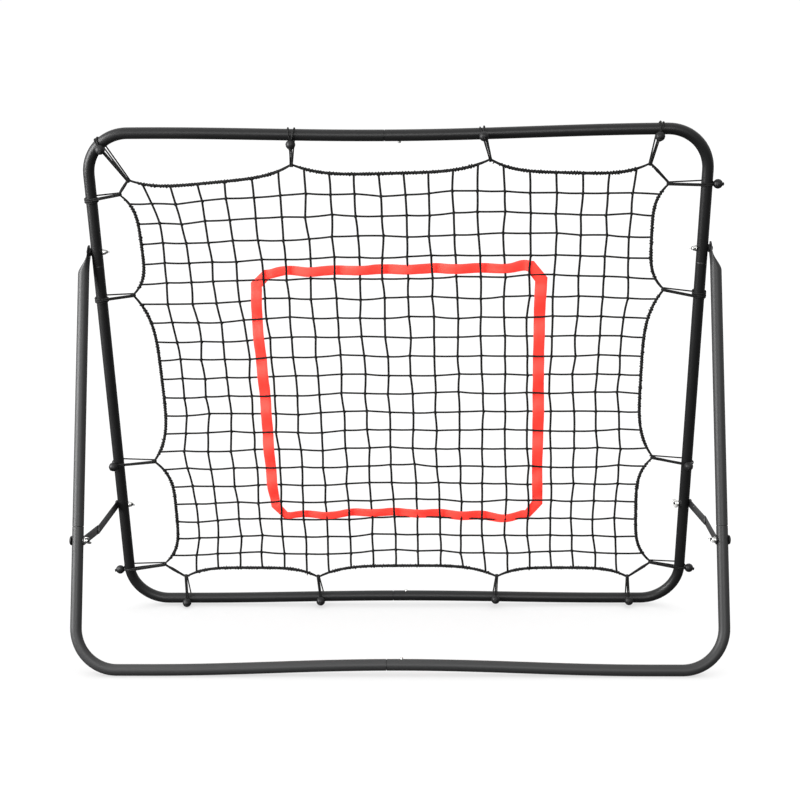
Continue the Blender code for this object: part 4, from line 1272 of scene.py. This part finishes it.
def tie_turns(tube_point, direction, turns, spreads):
    """The further turns that a tie takes round the tube, side by side."""
    axis = direction.normalized()
    side = crosswise(axis)
    radius = tube_radius + elastic_radius + wrap_gap
    first = sum(spreads) / 2 - elastic_diameter * turns / 2
    steps = turns * 24
    points = []
    for step in range(steps + 1):
        round_so_far = turns * step / steps
        along = axis * (first + elastic_diameter * 1.08 * round_so_far)
        points.append(NET_PLANE @ (tube_point + along + spoke(math.tau * round_so_far, side) * radius))
    return cord_mesh(points, elastic_radius, sides=10)


def make_ties(ties):
    """Each tie: two strands and a hitch, more turns round the tube for some, and a ball with its knot."""
    for number, ((tube_point, direction, rope), entry) in enumerate(zip(ties, TIES), start=1):
        side, _, _, _, angle, spreads, more_turns = entry
        towards = rope - tube_point
        reach = towards.length
        towards.normalize()
        oblique = abs(towards.cross(direction).z)
        place = NET_PLANE @ placing(tube_point, towards, OUT.cross(towards))
        sink = net_foot - tube_radius - elastic_diameter - wrap_gap if side == "bottom" else 0.0
        cords = []
        for hand, spread in zip((-1, 1), spreads):
            points = tie_strand(reach, oblique, angle, spread, hand, rope_diameter / 2 + elastic_radius, sink)
            path = smooth_path([place @ point for point in points], 2)
            cords.append(cord_mesh(path, elastic_radius, sides=10))
        cords.append(tie_knot(place, reach))
        if more_turns:
            cords.append(tie_turns(tube_point, direction, more_turns, spreads))
        out = spoke(math.radians(angle))
        stand_off = tube_radius / oblique + fit_gap + ball_diameter / 2
        seat = place @ placing(out * stand_off, (0, 1, 0), out.cross((0, 1, 0)))
        cords.append(end_knot(seat))
        finish_piece(f"tie_{number:02d}_cord", joined(cords, "tie"), elastic, "net_frame",
                     [f"tie_{number:02d}"])
        finish_piece(f"tie_{number:02d}_ball", tie_ball(seat), black_plastic, "net_frame")


# Floor, light and camera

floor_reach = 60
floor_drop = 0.0002

# Each softbox: its place, what it points at, its width and height, and its power.
SOFTBOXES = {
    "side_softbox": ((-2.4, -1.0, 1.2), (0, -0.06, 0.55), (1.2, 1.8), 300),
    "front_softbox": ((0.2, -5.5, 2.1), (0, 0, 0.6), (2.0, 2.0), 270),
}

# The studio's brightness, and its shades from straight down at 0 to straight up at 1.
studio_strength = 2.4
STUDIO_SHADES = ((0.40, 0.09), (0.47, 0.425), (0.56, 0.425), (1.0, 1.0))

camera_place = Vector((0.0824, -2.9023, 1.0342))
camera_yaw = math.radians(-1.589)
camera_pitch = math.radians(10.627)
camera_roll = math.radians(-0.516)
camera_lens = 67.5


def make_stage():
    """The floor, which lights nothing and isn't mirrored in the part."""
    shape = bmesh.new()
    bmesh.ops.create_grid(shape, x_segments=1, y_segments=1, size=floor_reach)
    mesh = to_mesh(shape, "floor")
    mesh.materials.append(studio_floor("studio_floor"))
    floor = bpy.data.objects.new("studio_floor", mesh)
    bpy.context.scene.collection.objects.link(floor)
    floor.location.z = -floor_drop
    floor.visible_diffuse = floor.visible_glossy = False
    return floor


def make_light(name, place, target, size, power, unlit):
    """A softbox that the camera doesn't see and that leaves the objects of one collection unlit."""
    lamp = bpy.data.lights.new(name, "AREA")
    lamp.shape = "RECTANGLE"
    lamp.size, lamp.size_y = size
    lamp.energy = power
    made = bpy.data.objects.new(name, lamp)
    made.location = place
    made.rotation_euler = (Vector(target) - Vector(place)).to_track_quat("-Z", "Y").to_euler()
    made.visible_camera = False
    bpy.context.scene.collection.objects.link(made)
    made.light_linking.receiver_collection = unlit
    for entry in unlit.collection_objects:
        entry.light_linking.link_state = "EXCLUDE"


def make_world():
    """A studio that is white behind the part, brighter overhead and dim under it."""
    world = bpy.data.worlds.new("studio")
    world.use_nodes = True
    studio = Nodes(world.node_tree)
    facing = studio.node("ShaderNodeTexCoord", output="Generated")
    height = studio.node("ShaderNodeSeparateXYZ", output="Z", Vector=facing)
    lift = studio.node("ShaderNodeMapRange", Value=height, From_Min=-1.0)
    shade = studio.node("ShaderNodeValToRGB", {"stops": STUDIO_SHADES}, Fac=lift)
    background = studio.tree.nodes["Background"]
    background.inputs["Strength"].default_value = studio_strength
    Socket.plug(studio.tree, background.inputs["Color"], shade)
    bpy.context.scene.world = world


def make_camera():
    """The photograph's camera, from its place, its heading, its tilt down and its roll."""
    forward = Vector((math.sin(camera_yaw) * math.cos(camera_pitch),
                      math.cos(camera_yaw) * math.cos(camera_pitch), -math.sin(camera_pitch)))
    right = Vector((math.cos(camera_yaw), -math.sin(camera_yaw), 0))
    up = right.cross(forward)
    side = right * math.cos(camera_roll) + up * math.sin(camera_roll)
    top = up * math.cos(camera_roll) - right * math.sin(camera_roll)
    lens = bpy.data.cameras.new("camera")
    lens.lens = camera_lens
    lens.sensor_width = 36
    camera = bpy.data.objects.new("camera", lens)
    camera.matrix_world = placing(camera_place, side, top)
    bpy.context.scene.collection.objects.link(camera)
    bpy.context.scene.camera = camera


make_camera()
make_world()
unlit = bpy.data.collections.new("unlit_floor")
unlit.objects.link(make_stage())
for name, (place, target, size, power) in SOFTBOXES.items():
    make_light(name, place, target, size, power, unlit)
bpy.context.scene.view_settings.view_transform = "Standard"

# Both sources of chance are seeded, so that the net comes out the same each time.
noise.seed_set(drift_seed)
chance = random.Random(chance_seed)
ties = tie_points()
knots = [rope for _, _, rope in ties]
grid = relaxed_net(knots, chance)
make_tubes()
make_fittings()
make_stays()
make_buttons()
make_net(grid, chance)
make_rope(knots, chance)
make_tape(grid)
make_ties(ties)
